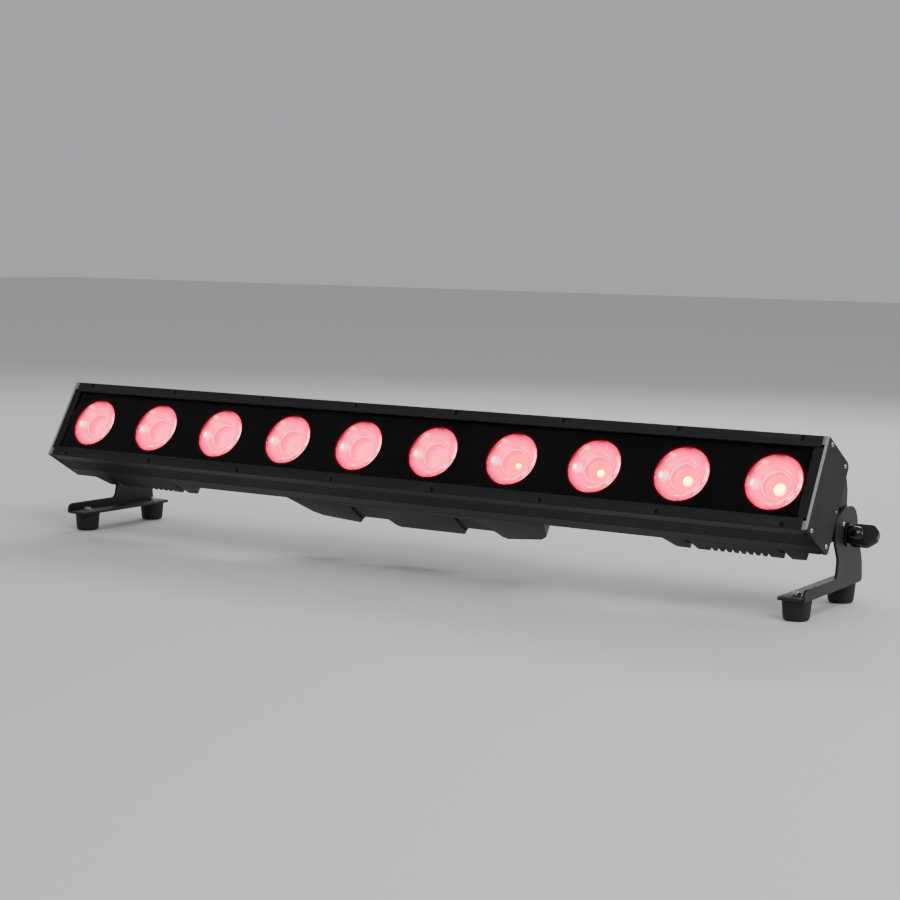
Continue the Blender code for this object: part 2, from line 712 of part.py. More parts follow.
def make_controls():
    holes = [rectangle(DISPLAY_WIDTH - 4 * MM, DISPLAY_HEIGHT - 4 * MM, 1 * MM, (0, DISPLAY_RISE))]
    holes += [circle(BUTTON_BORE, 20, (x, -BUTTON_DROP)) for x in button_places()]
    outline = rectangle(PANEL_WIDTH, PANEL_HEIGHT, 4 * MM)
    panel = extrusion("control_panel", [outline] + holes, PANEL, MATT_PLASTIC)
    place(panel, (0, HUMP_DEPTH + GAP + PANEL / 2, 0), housing_frame, FACING)
    glass = 2 * MM
    window = extrusion(
        "display_window",
        [rectangle(DISPLAY_WIDTH - 0.8 * MM, DISPLAY_HEIGHT - 0.8 * MM, 0.5 * MM)],
        glass,
        DISPLAY,
    )
    place(window, (0, HUMP_DEPTH - glass / 2, DISPLAY_RISE), housing_frame, FACING)
    names = ("menu_button", "down_button", "up_button", "enter_button")
    stem = HUMP_WALL + GAP + PANEL + BUTTON_PROUD
    for name, x in zip(names, button_places()):
        cap = turned(
            name,
            [
                (0, stem), (BUTTON_RADIUS - 0.7 * MM, stem), (BUTTON_RADIUS, stem - 0.7 * MM),
                (BUTTON_RADIUS, -GAP), (BUTTON_RADIUS + 1.6 * MM, -GAP),
                (BUTTON_RADIUS + 1.6 * MM, -1.4 * MM), (0, -1.4 * MM),
            ],
            20,
            MATT_PLASTIC,
        )
        place(cap, (x, HUMP_DEPTH - HUMP_WALL, -BUTTON_DROP), housing_frame, (-math.pi / 2, 0, 0))


# ---------------------------------------------------------------- connectors
POD_SLOPE = math.atan2(
    HUMP_DEPTH - HUMP_SHOULDER_DEPTH, HUMP_SHOULDER - 10 * MM - POD_OUTER_EDGE
)
POD_MIDDLE = (POD_OUTER_EDGE + HUMP_SHOULDER - 10 * MM) / 2
connector_seats = {
    name: empty(
        f"{name}_seat",
        (side * POD_MIDDLE, (HUMP_DEPTH + HUMP_SHOULDER_DEPTH) / 2, up * CONNECTOR_SPACING / 2),
        (0, 0, -side * POD_SLOPE),
        housing_frame,
    )
    for name, side, up in (
        ("power_inlet", -1, 1), ("power_outlet", -1, -1), ("data_inlet", 1, 1), ("data_outlet", 1, -1),
    )
}


def make_connector(name, keyways):
    """A panel connector: flange on the pod's sloping face, and a barrel with a narrow ring
    around its core."""
    seat = connector_seats[name]
    flange = CONNECTOR_FLANGE
    made = extrusion(name, [rectangle(FLANGE_W, FLANGE_H, 2.5 * MM)], flange, MATT_PLASTIC)
    place(made, (0, GAP + flange / 2, 0), seat, FACING)
    barrel = cone("barrel", BARREL_RADIUS, BARREL_RADIUS, BARREL_LENGTH, 28)
    join(made, place(barrel, (0, GAP + flange / 2 - BARREL_LENGTH / 2, 0), seat, FACING))
    bore = cone("bore", SOCKET_RADIUS, SOCKET_RADIUS, SOCKET_DEPTH, 28)
    cut(made, place(bore, (0, GAP + flange + 1 * MM - SOCKET_DEPTH / 2, 0), seat, FACING))
    core = cone("core", CORE_RADIUS, CORE_RADIUS, SOCKET_DEPTH, 28)
    join(made, place(core, (0, GAP + flange - 1 * MM - SOCKET_DEPTH / 2, 0), seat, FACING))
    for angle in keyways:
        x, z = CORE_RADIUS * math.sin(angle), CORE_RADIUS * math.cos(angle)
        key = box("keyway", (2.4 * MM, SOCKET_DEPTH, 2.4 * MM))
        cut(made, place(key, (x, GAP + flange - SOCKET_DEPTH / 2 + 1 * MM, z), seat, (0, angle, 0)))
    return made


def make_connectors():
    make_connector("power_inlet", (0, math.pi))
    make_connector("power_outlet", (math.pi / 2, -math.pi / 2))
    make_connector("data_inlet", (0,))
    outlet = make_connector("data_outlet", (math.pi,))
    latch_width, latch_height, latch_depth = 7 * MM, 3.4 * MM, 2.7 * MM
    slot = box("latch_slot", (latch_width + 0.8 * MM, 12 * MM, latch_height + 0.8 * MM))
    above = FLANGE_H / 2 - 3.2 * MM
    seat = connector_seats["data_outlet"]
    cut(outlet, place(slot, (0, 0, above), seat))
    latch = box("data_latch", (latch_width, latch_depth, latch_height), STEEL)
    place(latch, (0, GAP + CONNECTOR_FLANGE + LATCH_PROUD - latch_depth / 2, above), seat)
    soften(latch, 0.3 * MM)


# ---------------------------------------------------------------- fans
def make_fan(side, prefix):
    outlines = [rectangle(FAN_SIDE, FAN_SIDE, 4 * MM), circle(FAN_BORE, 32)]
    frame = extrusion(f"{prefix}_fan_frame", outlines, FAN_DEPTH, MATT_PLASTIC)
    place(frame, (side * VENT_CENTRE, FAN_START + FAN_DEPTH / 2, 0), housing_frame, FACING)
    seat = 1.6 * MM
    plate = cone("motor_seat", HUB_FAN_RADIUS, HUB_FAN_RADIUS, seat, 24)
    where = (side * VENT_CENTRE, FAN_START + seat / 2, 0)
    join(frame, place(plate, where, housing_frame, FACING))
    for i in range(3):
        angle = 2 * math.pi * i / 3 + math.pi / 2
        strut = box("strut", (FAN_BORE - HUB_FAN_RADIUS + 4 * MM, seat, 4 * MM))
        reach = (FAN_BORE + HUB_FAN_RADIUS) / 2
        place(
            strut,
            (side * VENT_CENTRE + reach * math.cos(angle), FAN_START + seat / 2, reach * math.sin(angle)),
            housing_frame,
            (0, -angle, 0),
        )
        join(frame, strut)
    shaft = cone("shaft", FAN_SHAFT, FAN_SHAFT, FAN_DEPTH - 5 * MM, 12)
    where = (side * VENT_CENTRE, FAN_START + seat / 2 + (FAN_DEPTH - 5 * MM) / 2, 0)
    join(frame, place(shaft, where, housing_frame, FACING))
    hub_front = FAN_START + seat + 1 * MM
    hub_depth = FAN_DEPTH - seat - 2 * MM
    rotor = cone(f"{prefix}_fan_rotor", HUB_FAN_RADIUS, HUB_FAN_RADIUS, hub_depth, 24, BLACK_PLASTIC)
    place(rotor, (side * VENT_CENTRE, hub_front + hub_depth / 2, 0), housing_frame, FACING)
    blade_length = FAN_BORE - HUB_FAN_RADIUS - 1 * MM
    for i in range(BLADE_COUNT):
        angle = 2 * math.pi * i / BLADE_COUNT
        turn = empty("blade_turn", (0, 0, 0), (0, 0, angle), rotor)
        blade = box("blade", (blade_length + 2 * MM, 15 * MM, 1.4 * MM))
        place(blade, (HUB_FAN_RADIUS + blade_length / 2 - 1 * MM, 0, 0), turn, (math.radians(38), 0, 0))
        join(rotor, blade)
        bpy.data.objects.remove(turn)
    bore = cone("bore", FAN_SHAFT + RUNNING, FAN_SHAFT + RUNNING, hub_depth, 12)
    where = (side * VENT_CENTRE, hub_front + hub_depth / 2 - 1.6 * MM, 0)
    cut(rotor, place(bore, where, housing_frame, FACING))


# ---------------------------------------------------------------- pivots and brackets
def make_cheek(side, prefix):
    """Plate behind the end plate that carries the pivot stud, with a window and a foot on the pan."""
    foot = COVER_FRONT
    outline = rounded([
        (foot, HALF_H - 3 * MM, 0), (98 * MM, HALF_H - 0.6 * MM, 3 * MM), (108 * MM, 41 * MM, 4 * MM),
        (114.5 * MM, 29 * MM, 4 * MM), (PIVOT_DEPTH + 4 * MM, BOSS_RADIUS - 1 * MM, 6 * MM),
        (PIVOT_DEPTH + BOSS_RADIUS, 0, 12 * MM), (PIVOT_DEPTH + 4 * MM, -BOSS_RADIUS + 1 * MM, 6 * MM),
        (103 * MM, -17 * MM, 8 * MM), (93 * MM, -28 * MM, 6 * MM), (70 * MM, -44 * MM, 4 * MM),
        (foot, -44 * MM, 0),
    ])
    window = rounded([
        (86 * MM, 17 * MM, 1.5 * MM), (104 * MM, 17 * MM, 1.5 * MM), (95 * MM, 5 * MM, 1.5 * MM),
    ], 2)
    made = extrusion(f"{prefix}_pivot_cheek", [outline, window], CHEEK, GREY_PAINT)
    place(made, (side * (CHEEK_OUTER - CHEEK / 2), 0, 0), housing_frame, ACROSS)
    flange = box("foot_flange", (HOUSING_HALF - CHEEK_OUTER + CHEEK, 3 * MM, 88 * MM))
    place(flange, (side * (HOUSING_HALF + CHEEK_OUTER - CHEEK) / 2, foot + 1.5 * MM, 0), housing_frame)
    join(made, flange)
    stud = cone("stud", STUD_RADIUS, STUD_RADIUS, STUD_LENGTH + CHEEK / 2, 24)
    middle = CHEEK_OUTER - CHEEK / 4 + STUD_LENGTH / 2
    join(made, place(stud, (side * middle, PIVOT_DEPTH, 0), housing_frame, (0, math.pi / 2, 0)))
    return made


def bracket_outline():
    """Bracket's upright plate seen from the side, from the pivot: head, leg and the bar along the floor."""
    bar_top = FLANGE_BOTTOM + WEB_HEIGHT
    head = HEAD_RADIUS
    return rounded([
        (BAR_FRONT, FLANGE_BOTTOM, 2 * MM),
        (BAR_REAR, FLANGE_BOTTOM, 5 * MM),
        (44.8 * MM, -32 * MM, 30 * MM),
        (head + 1.3 * MM, 2 * MM, 18 * MM),
        (head - 4 * MM, head, 20 * MM),
        (-9 * MM, head + 0.5 * MM, 10 * MM),
        (-33 * MM, 20 * MM, 12 * MM),
        (-33 * MM, -6 * MM, 8 * MM),
        (-22.5 * MM, -24 * MM, 12 * MM),
        (-26 * MM, bar_top, 7 * MM),
        (BAR_FRONT, bar_top, 7 * MM),
    ], 5)


def make_bracket(side, prefix):
    made = extrusion(f"{prefix}_bracket", [bracket_outline()], BRACKET, GREY_PAINT)
    place(made, (side * (BRACKET_INNER + BRACKET / 2), 0, 0), pivot, ACROSS)
    soften(made, 0.5 * MM)
    hole = cone("stud_hole", STUD_BORE, STUD_BORE, 3 * BRACKET, 24)
    cut(made, place(hole, (side * (BRACKET_INNER + BRACKET / 2), 0, 0), pivot, (0, math.pi / 2, 0)))
    length = BAR_REAR - BAR_FRONT - 1 * MM
    centre = (BAR_REAR + BAR_FRONT) / 2
    holes = [circle(BOLT_RADIUS + 0.5 * MM, 16, (0, y - centre)) for y in (FOOT_FRONT, FOOT_REAR)]
    holes.append(circle(HANGING_HOLE, 24, (0, (FOOT_FRONT + FOOT_REAR) / 2 - centre)))
    reach = FLANGE_WIDTH - BRACKET / 2
    shift = side * (BRACKET_OUTER - FOOT_INSET - (BRACKET_INNER + BRACKET / 2 - reach / 2))
    outline = rectangle(reach, length, 3 * MM, (-shift, 0))
    flange = extrusion("flange", [outline] + holes, BRACKET)
    place(
        flange,
        (side * (BRACKET_OUTER - FOOT_INSET), centre, FLANGE_BOTTOM + BRACKET / 2),
        pivot,
    )
    join(made, flange)


def make_foot(side, prefix, end, along):
    height = FOOT_HEIGHT - GAP
    bore = BOLT_RADIUS + 0.4 * MM
    edge = 3 * MM
    foot = turned(
        f"{prefix}_{end}_foot",
        [
            (bore, height), (FOOT_TOP_RADIUS - 0.8 * MM, height), (FOOT_TOP_RADIUS, height - 0.8 * MM),
            (FOOT_BOTTOM_RADIUS + 0.3 * MM, edge), (FOOT_BOTTOM_RADIUS - 0.6 * MM, 0.8 * MM),
            (FOOT_BOTTOM_RADIUS - 2.4 * MM, 0), (6 * MM, 0), (6 * MM, 5 * MM), (bore, 5 * MM),
            (bore, height),
        ],
        24,
        RUBBER,
    )
    spot = (side * (BRACKET_OUTER - FOOT_INSET), along, -PIVOT_HEIGHT)
    place(foot, spot, pivot)
    head = 4.2 * MM
    top = FOOT_HEIGHT + BRACKET + BOLT_TIP
    bolt = turned(
        f"{prefix}_{end}_foot_bolt",
        [
            (0, top), (BOLT_RADIUS - 0.4 * MM, top), (BOLT_RADIUS, top - 0.5 * MM),
            (BOLT_RADIUS, 5 * MM - GAP), (5 * MM, 5 * MM - GAP), (5 * MM, 5 * MM - head), (0, 5 * MM - head),
        ],
        16,
        STEEL,
    )
    place(bolt, spot, pivot)


def make_knob(side, prefix):
    """Clamp washer against the bracket, and a wing knob that screws on the cheek's stud."""
    start = BRACKET_OUTER + GAP
    washer = turned(
        f"{prefix}_clamp_washer",
        [
            (STUD_BORE, WASHER), (WASHER_RADIUS - 0.5 * MM, WASHER), (WASHER_RADIUS, WASHER - 0.5 * MM),
            (WASHER_RADIUS, 0), (STUD_BORE, 0), (STUD_BORE, WASHER),
        ],
        24,
        STEEL,
    )
    outward = (0, side * math.pi / 2, 0)
    place(washer, (side * start, 0, 0), pivot, outward)
    base = start + WASHER + GAP
    blind = CHEEK_OUTER + STUD_LENGTH - base + 1 * MM
    knob = turned(
        f"{prefix}_knob",
        [
            (0, HUB_LENGTH + 4 * MM), (HUB_RADIUS - 4 * MM, HUB_LENGTH + 3 * MM),
            (HUB_RADIUS - 1 * MM, HUB_LENGTH),
            (HUB_RADIUS, HUB_LENGTH - 3 * MM), (HUB_RADIUS, 1 * MM), (HUB_RADIUS - 0.8 * MM, 0), (0, 0),
        ],
        20,
        BLACK_PLASTIC,
    )
    place(knob, (side * base, 0, 0), pivot, outward)
    span = WING_SPAN / 2
    wing_outline = rounded([
        (2.5 * MM, -span + 2.3 * MM, 2 * MM), (6 * MM, -span, 4 * MM),
        (KNOB_LENGTH - 8 * MM, -span, 5 * MM), (KNOB_LENGTH, -5 * MM, 6 * MM),
        (KNOB_LENGTH, 5 * MM, 6 * MM), (KNOB_LENGTH - 8 * MM, span, 5 * MM),
        (6 * MM, span, 4 * MM), (2.5 * MM, span - 2.3 * MM, 2 * MM),
    ])
    wing = extrusion("wing", [[(side * a, b) for a, b in wing_outline]], WING)
    # the outline lies in the bar's direction and the wing's own, which leans back from upright
    place(wing, (side * base, 0, 0), pivot, (math.pi / 2 + WING_LEAN, 0, 0))
    soften(wing, 0.8 * MM)
    join(knob, wing)
    socket = cone("socket", STUD_BORE, STUD_BORE, blind + 1 * MM, 24)
    cut(knob, place(socket, (side * (base + (blind - 1 * MM) / 2), 0, 0), pivot, outward))


# ---------------------------------------------------------------- the whole object
make_main_housing()
make_window()
make_cell_mask()
make_lenses()
make_reflector_tray()
make_led_board()
make_heatsink()
make_rear_pan()
make_driver_housing()
make_power_supply()
make_driver_board()
make_controls()
make_connectors()
make_retainer(1, "top_retainer")
make_retainer(-1, "bottom_retainer")
for hand, prefix in ((-1, "left"), (1, "right")):
    make_end_plate(hand, f"{prefix}_end_plate")
    make_side_strip(hand, f"{prefix}_side_strip")
    make_vent_housing(hand, f"{prefix}_vent_housing")
    make_fan(hand, prefix)
    make_cheek(hand, prefix)
    make_bracket(hand, prefix)
    for end, along in (("front", FOOT_FRONT), ("rear", FOOT_REAR)):
        make_foot(hand, prefix, end, along)
    make_knob(hand, prefix)

bpy.context.view_layer.update()
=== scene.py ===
"""The look of the LED strip batten: its finishes, lit colour cells, screws and rolled edges.

Details of the housing are placed in the housing's own frame: X along the bar, Y is depth counted backwards
from the front face, Z runs up the front face. HOUSING turns that frame into the row's frame.
"""

import json
import math

import bmesh
import bpy
from mathutils import Matrix, Vector


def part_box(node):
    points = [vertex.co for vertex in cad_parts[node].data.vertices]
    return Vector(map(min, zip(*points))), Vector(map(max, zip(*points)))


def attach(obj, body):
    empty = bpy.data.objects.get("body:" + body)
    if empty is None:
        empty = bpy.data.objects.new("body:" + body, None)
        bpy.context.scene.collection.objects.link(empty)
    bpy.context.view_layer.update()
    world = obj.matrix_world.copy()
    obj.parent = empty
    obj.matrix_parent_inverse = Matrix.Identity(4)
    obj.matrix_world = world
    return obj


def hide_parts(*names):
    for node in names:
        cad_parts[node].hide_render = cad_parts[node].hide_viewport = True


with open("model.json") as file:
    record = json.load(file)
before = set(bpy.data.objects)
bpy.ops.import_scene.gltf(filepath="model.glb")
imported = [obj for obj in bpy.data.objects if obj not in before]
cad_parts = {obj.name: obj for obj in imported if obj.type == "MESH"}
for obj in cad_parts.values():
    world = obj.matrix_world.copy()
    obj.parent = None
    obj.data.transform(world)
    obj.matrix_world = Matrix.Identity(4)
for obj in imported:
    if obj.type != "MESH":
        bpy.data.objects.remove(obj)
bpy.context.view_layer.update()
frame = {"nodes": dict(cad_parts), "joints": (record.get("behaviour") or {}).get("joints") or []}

MM = 0.001

# ---------------------------------------------------------------- sizes shared with the solid model
TILT = math.radians(30.5)
PIVOT_DEPTH = 127 * MM
END_FACE = 498.5 * MM  # outer face of an end plate, from the middle
CELL_PITCH = 100 * MM
CELL_COUNT = 10
APERTURE_RADIUS = 30.2 * MM
MASK_REAR = 8.4 * MM  # depth of the cell mask's back
RETAINER_SCREWS = 8
RETAINER_SCREW_PITCH = 134.6 * MM
RETAINER_SCREW_HEIGHT = 46.5 * MM
PAN_REAR = 61.5 * MM
PAN_SCREW_X = (190, 236, 300, 478)  # in mm, each side of the middle
PAN_SCREW_HEIGHT = 47.3 * MM
HUMP_DEPTH = 127 * MM
HUMP_SCREW_X = 41.4 * MM
HUMP_SCREW_HEIGHT = 43 * MM
VENT_CENTRE = 396 * MM
VENT_DEPTH = 92 * MM
VENT_SCREW_X = 64 * MM  # from the vent housing's middle
VENT_SCREW_HEIGHT = 38 * MM
END_PLATE_SCREWS = ((46.1, 10.3), (43.7, 55.0))  # height and depth in mm, above and below the middle
BRACKET_OUTER = 489.6 * MM
FOOT_X = 473.6 * MM
FOOT_Y = (-91.2 * MM, 29.3 * MM)  # front and rear foot, from the pivot
FLANGE_TOP = 24 * MM

tilt_joint = next(j for j in frame["joints"] if j["name"] == "right_bracket_tilt")
PIVOT = Vector((0, tilt_joint["pos_m"][1], tilt_joint["pos_m"][2]))
LEAN_BACK = Matrix.Rotation(-TILT, 4, "X")
HOUSING = Matrix.Translation(PIVOT) @ LEAN_BACK @ Matrix.Translation((0, -PIVOT_DEPTH, 0))


# ---------------------------------------------------------------- materials
def linear(hex_colour, alpha=1.0):
    """An sRGB hex colour as the linear colour that a shader takes."""
    channels = [int(hex_colour[i:i + 2], 16) / 255 for i in (1, 3, 5)]
    return (*[c / 12.92 if c <= 0.04045 else ((c + 0.055) / 1.055) ** 2.4 for c in channels], alpha)


def add(tree, kind, settings=None, **inputs):
    """Adds a node with its settings. An input is a value, or another node's output to link. Its name has _
    for a space, or is n and a number for an input that is known by its place."""
    made = tree.nodes.new("ShaderNode" + kind)
    for name, value in (settings or {}).items():
        setattr(made, name, value)
    for name, value in inputs.items():
        key = int(name[1:]) if name[0] == "n" and name[1:].isdigit() else name.replace("_", " ")
        socket = made.inputs[key]
        if isinstance(value, bpy.types.NodeSocket):
            tree.links.new(value, socket)
        else:
            socket.default_value = value
    return made


def material(name, **inputs):
    """An empty material with one Principled shader, and the tree and shader to build on."""
    made = bpy.data.materials.new(name)
    made.use_nodes = True
    tree = made.node_tree
    tree.nodes.clear()
    shader = add(tree, "BsdfPrincipled", **inputs)
    output = add(tree, "OutputMaterial")
    tree.links.new(shader.outputs["BSDF"], output.inputs["Surface"])
    return made, tree, shader


def ramp(tree, source, stops):
    """A colour ramp from (position, colour) stops."""
    made = add(tree, "ValToRGB", Fac=source)
    elements = made.color_ramp.elements
    elements[0].position, elements[0].color = stops[0]
    elements[1].position, elements[1].color = stops[-1]
    for position, colour in stops[1:-1]:
        elements.new(position).color = colour
    return made.outputs["Color"]


def link(tree, output, shader, name):
    tree.links.new(output, shader.inputs[name])


def powder_coat(name, dark, light, roughness, grain_mm, depth_mm, along_bar=0.0):
    """Polyester powder baked on metal: a fine leathery grain, faint clouding, and dust that dulls it in
    places. The real grain is about 0.4 mm; it is drawn as coarse as grain_mm so that it shows."""
    made, tree, shader = material(name, IOR=1.5)
    shader.inputs["Specular IOR Level"].default_value = 0.35
    place = add(tree, "TexCoord").outputs["Object"]
    cloud = add(tree, "TexNoise", Vector=place, Scale=1000 / 140, Detail=5.0, Roughness=0.6).outputs["Fac"]
    grain = add(
        tree, "TexNoise", Vector=place, Scale=1000 / grain_mm, Detail=2.0, Roughness=0.5
    ).outputs["Fac"]
    speck = add(tree, "MapRange", Value=grain, n1=0.35, n2=0.7, n3=-0.14, n4=0.14).outputs["Result"]
    tone = add(tree, "Math", {"operation": "ADD"}, n0=cloud, n1=speck).outputs["Value"]
    colour = ramp(tree, tone, [(0.25, linear(dark)), (0.78, linear(light))])
    if along_bar:
        stretched = add(tree, "Mapping", Vector=place, Scale=(2.0, 60.0, 60.0)).outputs["Vector"]
        streak = add(tree, "TexNoise", Vector=stretched, Scale=18.0, Detail=3.0).outputs["Fac"]
        shade = add(tree, "MapRange", Value=streak, n1=0.3, n2=0.7, n3=1 - along_bar, n4=1 + along_bar)
        mixed = add(
            tree, "Mix", {"data_type": "RGBA", "blend_type": "MULTIPLY"}, n0=1.0, n6=colour,
            n7=shade.outputs["Result"],
        )
        colour = mixed.outputs[2]
    link(tree, colour, shader, "Base Color")
    dull = add(tree, "MapRange", Value=cloud, n1=0.3, n2=0.7, n3=roughness - 0.07, n4=roughness + 0.08)
    link(tree, dull.outputs["Result"], shader, "Roughness")
    bump = add(tree, "Bump", Height=grain, Strength=0.55, Distance=depth_mm * MM)
    link(tree, bump.outputs["Normal"], shader, "Normal")
    return made, tree, shader, colour


def moulded_plastic(name, dark, light, roughness, grain_mm, depth_mm, strength=0.35):
    """Injection-moulded plastic: even colour, with a light spark-eroded texture from the mould."""
    made, tree, shader = material(name, IOR=1.49)
    place = add(tree, "TexCoord").outputs["Object"]
    cloud = add(tree, "TexNoise", Vector=place, Scale=1000 / 30, Detail=3.0).outputs["Fac"]
    link(tree, ramp(tree, cloud, [(0.3, linear(dark)), (0.7, linear(light))]), shader, "Base Color")
    grain = add(tree, "TexNoise", Vector=place, Scale=1000 / grain_mm, Detail=2.0).outputs["Fac"]
    dull = add(tree, "MapRange", Value=cloud, n1=0.3, n2=0.7, n3=roughness * 0.85, n4=roughness * 1.2)
    link(tree, dull.outputs["Result"], shader, "Roughness")
    bump = add(tree, "Bump", Height=grain, Strength=strength, Distance=depth_mm * MM)
    link(tree, bump.outputs["Normal"], shader, "Normal")
    return made


def metal(name, dark, light, roughness, scratch_mm, depth_mm=0.01):
    """Bare or plated metal with faint tool marks that run one way."""
    made, tree, shader = material(name, Metallic=1.0)
    place = add(tree, "TexCoord").outputs["Object"]
    stretched = add(tree, "Mapping", Vector=place, Scale=(1.0, 1.0, 8.0)).outputs["Vector"]
    marks = add(tree, "TexNoise", Vector=stretched, Scale=1000 / scratch_mm, Detail=3.0).outputs["Fac"]
    link(tree, ramp(tree, marks, [(0.3, linear(dark)), (0.7, linear(light))]), shader, "Base Color")
    dull = add(tree, "MapRange", Value=marks, n1=0.3, n2=0.7, n3=roughness * 0.7, n4=roughness * 1.3)
    link(tree, dull.outputs["Result"], shader, "Roughness")
    bump = add(tree, "Bump", Height=marks, Strength=0.25, Distance=depth_mm * MM)
    link(tree, bump.outputs["Normal"], shader, "Normal")
    return made


def end_plate_coat():
    """The end plates are powder coated; a pale grey strip along the front edge is a painted highlight."""
    made, tree, shader, colour = powder_coat(
        "powder_coated_end_plate", "#040506", "#090A0C", 0.55, 1.1, 0.05
    )
    place = add(tree, "TexCoord").outputs["Object"]
    depth = add(tree, "SeparateXYZ", Vector=place).outputs["Y"]
    # Painted highlight: the plate's front edge, within 0.35 mm of the front, is drawn in pale grey for the
    # light that it catches.
    edge_highlight_share = add(tree, "MapRange", {"clamp": True}, Value=depth, n1=0.10 * MM, n2=0.35 * MM, n3=1.0, n4=0.0)
    marks = add(tree, "TexNoise", Vector=place, Scale=900.0, Detail=2.0).outputs["Fac"]
    bright = ramp(tree, marks, [(0.35, linear("#85878D")), (0.65, linear("#A6A8AE"))])
    mixed = add(tree, "Mix", {"data_type": "RGBA"}, n0=edge_highlight_share.outputs["Result"], n6=colour, n7=bright)
    link(tree, mixed.outputs[2], shader, "Base Color")
    return made


def cell_mask_finish():
    """Matt black painted sheet; next to each lit lens it catches a thin red halo."""
    made, tree, shader = material("painted_mask_sheet", IOR=1.4, Roughness=0.75)
    shader.inputs["Base Color"].default_value = linear("#030202")
    shader.inputs["Specular IOR Level"].default_value = 0.08
    place = add(tree, "SeparateXYZ", Vector=add(tree, "TexCoord").outputs["Object"])
    shifted = add(tree, "Math", {"operation": "ADD"}, n0=place.outputs["X"], n1=CELL_COUNT / 2 * CELL_PITCH)
    within = add(tree, "Math", {"operation": "MODULO"}, n0=shifted.outputs[0], n1=CELL_PITCH)
    across = add(tree, "Math", {"operation": "SUBTRACT"}, n0=within.outputs[0], n1=CELL_PITCH / 2)
    flat = add(tree, "CombineXYZ", X=across.outputs[0], Y=place.outputs["Z"])
    reach = add(tree, "VectorMath", {"operation": "LENGTH"}, n0=flat.outputs[0]).outputs["Value"]
    near = add(
        tree, "MapRange", {"interpolation_type": "SMOOTHERSTEP"}, Value=reach,
        n1=APERTURE_RADIUS - 0.5 * MM, n2=APERTURE_RADIUS + 3.5 * MM, n3=0.3, n4=0.0,
    )
    tight = add(tree, "Math", {"operation": "POWER"}, n0=near.outputs["Result"], n1=2.0)
    link(tree, tight.outputs[0], shader, "Emission Strength")
    shader.inputs["Emission Color"].default_value = linear("#FF0C24")
    return made


def window_glass():
    """Tempered float glass with an anti-reflection coating, which leaves the cells clear behind it."""
    made, _, _ = material(
        "coated_float_glass", Base_Color=linear("#FFFFFF"), Roughness=0.0, IOR=1.14, Transmission_Weight=1.0
    )
    return made


def soft_spot(tree, flat, centre, size, inner=0.35):
    """1 in the middle of an oval on the lens's face and 0 outside it; centre and size in mm."""
    moved = add(
        tree, "VectorMath", {"operation": "SUBTRACT"}, n0=flat, n1=(centre[0] * MM, centre[1] * MM, 0)
    )
    scaled = add(
        tree, "VectorMath", {"operation": "DIVIDE"}, n0=moved.outputs[0], n1=(size[0] * MM, size[1] * MM, 1)
    )
    reach = add(tree, "VectorMath", {"operation": "LENGTH"}, n0=scaled.outputs[0]).outputs["Value"]
    return add(
        tree, "MapRange", {"interpolation_type": "SMOOTHERSTEP"}, Value=reach, n1=inner, n2=1.0,
        n3=1.0, n4=0.0,
    ).outputs["Result"]


def soft_arc(tree, reach, turn, radius, width, middle, spread):
    """1 along an arc of a ring and 0 away from it; radius and width in mm, middle and spread in degrees."""
    off = add(tree, "Math", {"operation": "SUBTRACT"}, n0=reach, n1=radius * MM).outputs[0]
    away = add(tree, "Math", {"operation": "ABSOLUTE"}, n0=off).outputs[0]
    across = add(
        tree, "MapRange", {"interpolation_type": "SMOOTHSTEP"}, Value=away, n1=0.2 * width * MM,
        n2=width * MM, n3=1.0, n4=0.0,
    )
    swung = add(tree, "Math", {"operation": "SUBTRACT"}, n0=turn, n1=math.radians(middle)).outputs[0]
    apart = add(tree, "Math", {"operation": "ABSOLUTE"}, n0=swung).outputs[0]
    along = add(
        tree, "MapRange", {"interpolation_type": "SMOOTHSTEP"}, Value=apart, n1=math.radians(spread * 0.4),
        n2=math.radians(spread), n3=1.0, n4=0.0,
    )
    return add(
        tree, "Math", {"operation": "MULTIPLY"}, n0=across.outputs["Result"], n1=along.outputs["Result"]
    ).outputs[0]


def blend(tree, under, over, share):
    mixed = add(tree, "Mix", {"data_type": "RGBA"}, n0=share, n6=under, n7=over)
    return mixed.outputs[2]


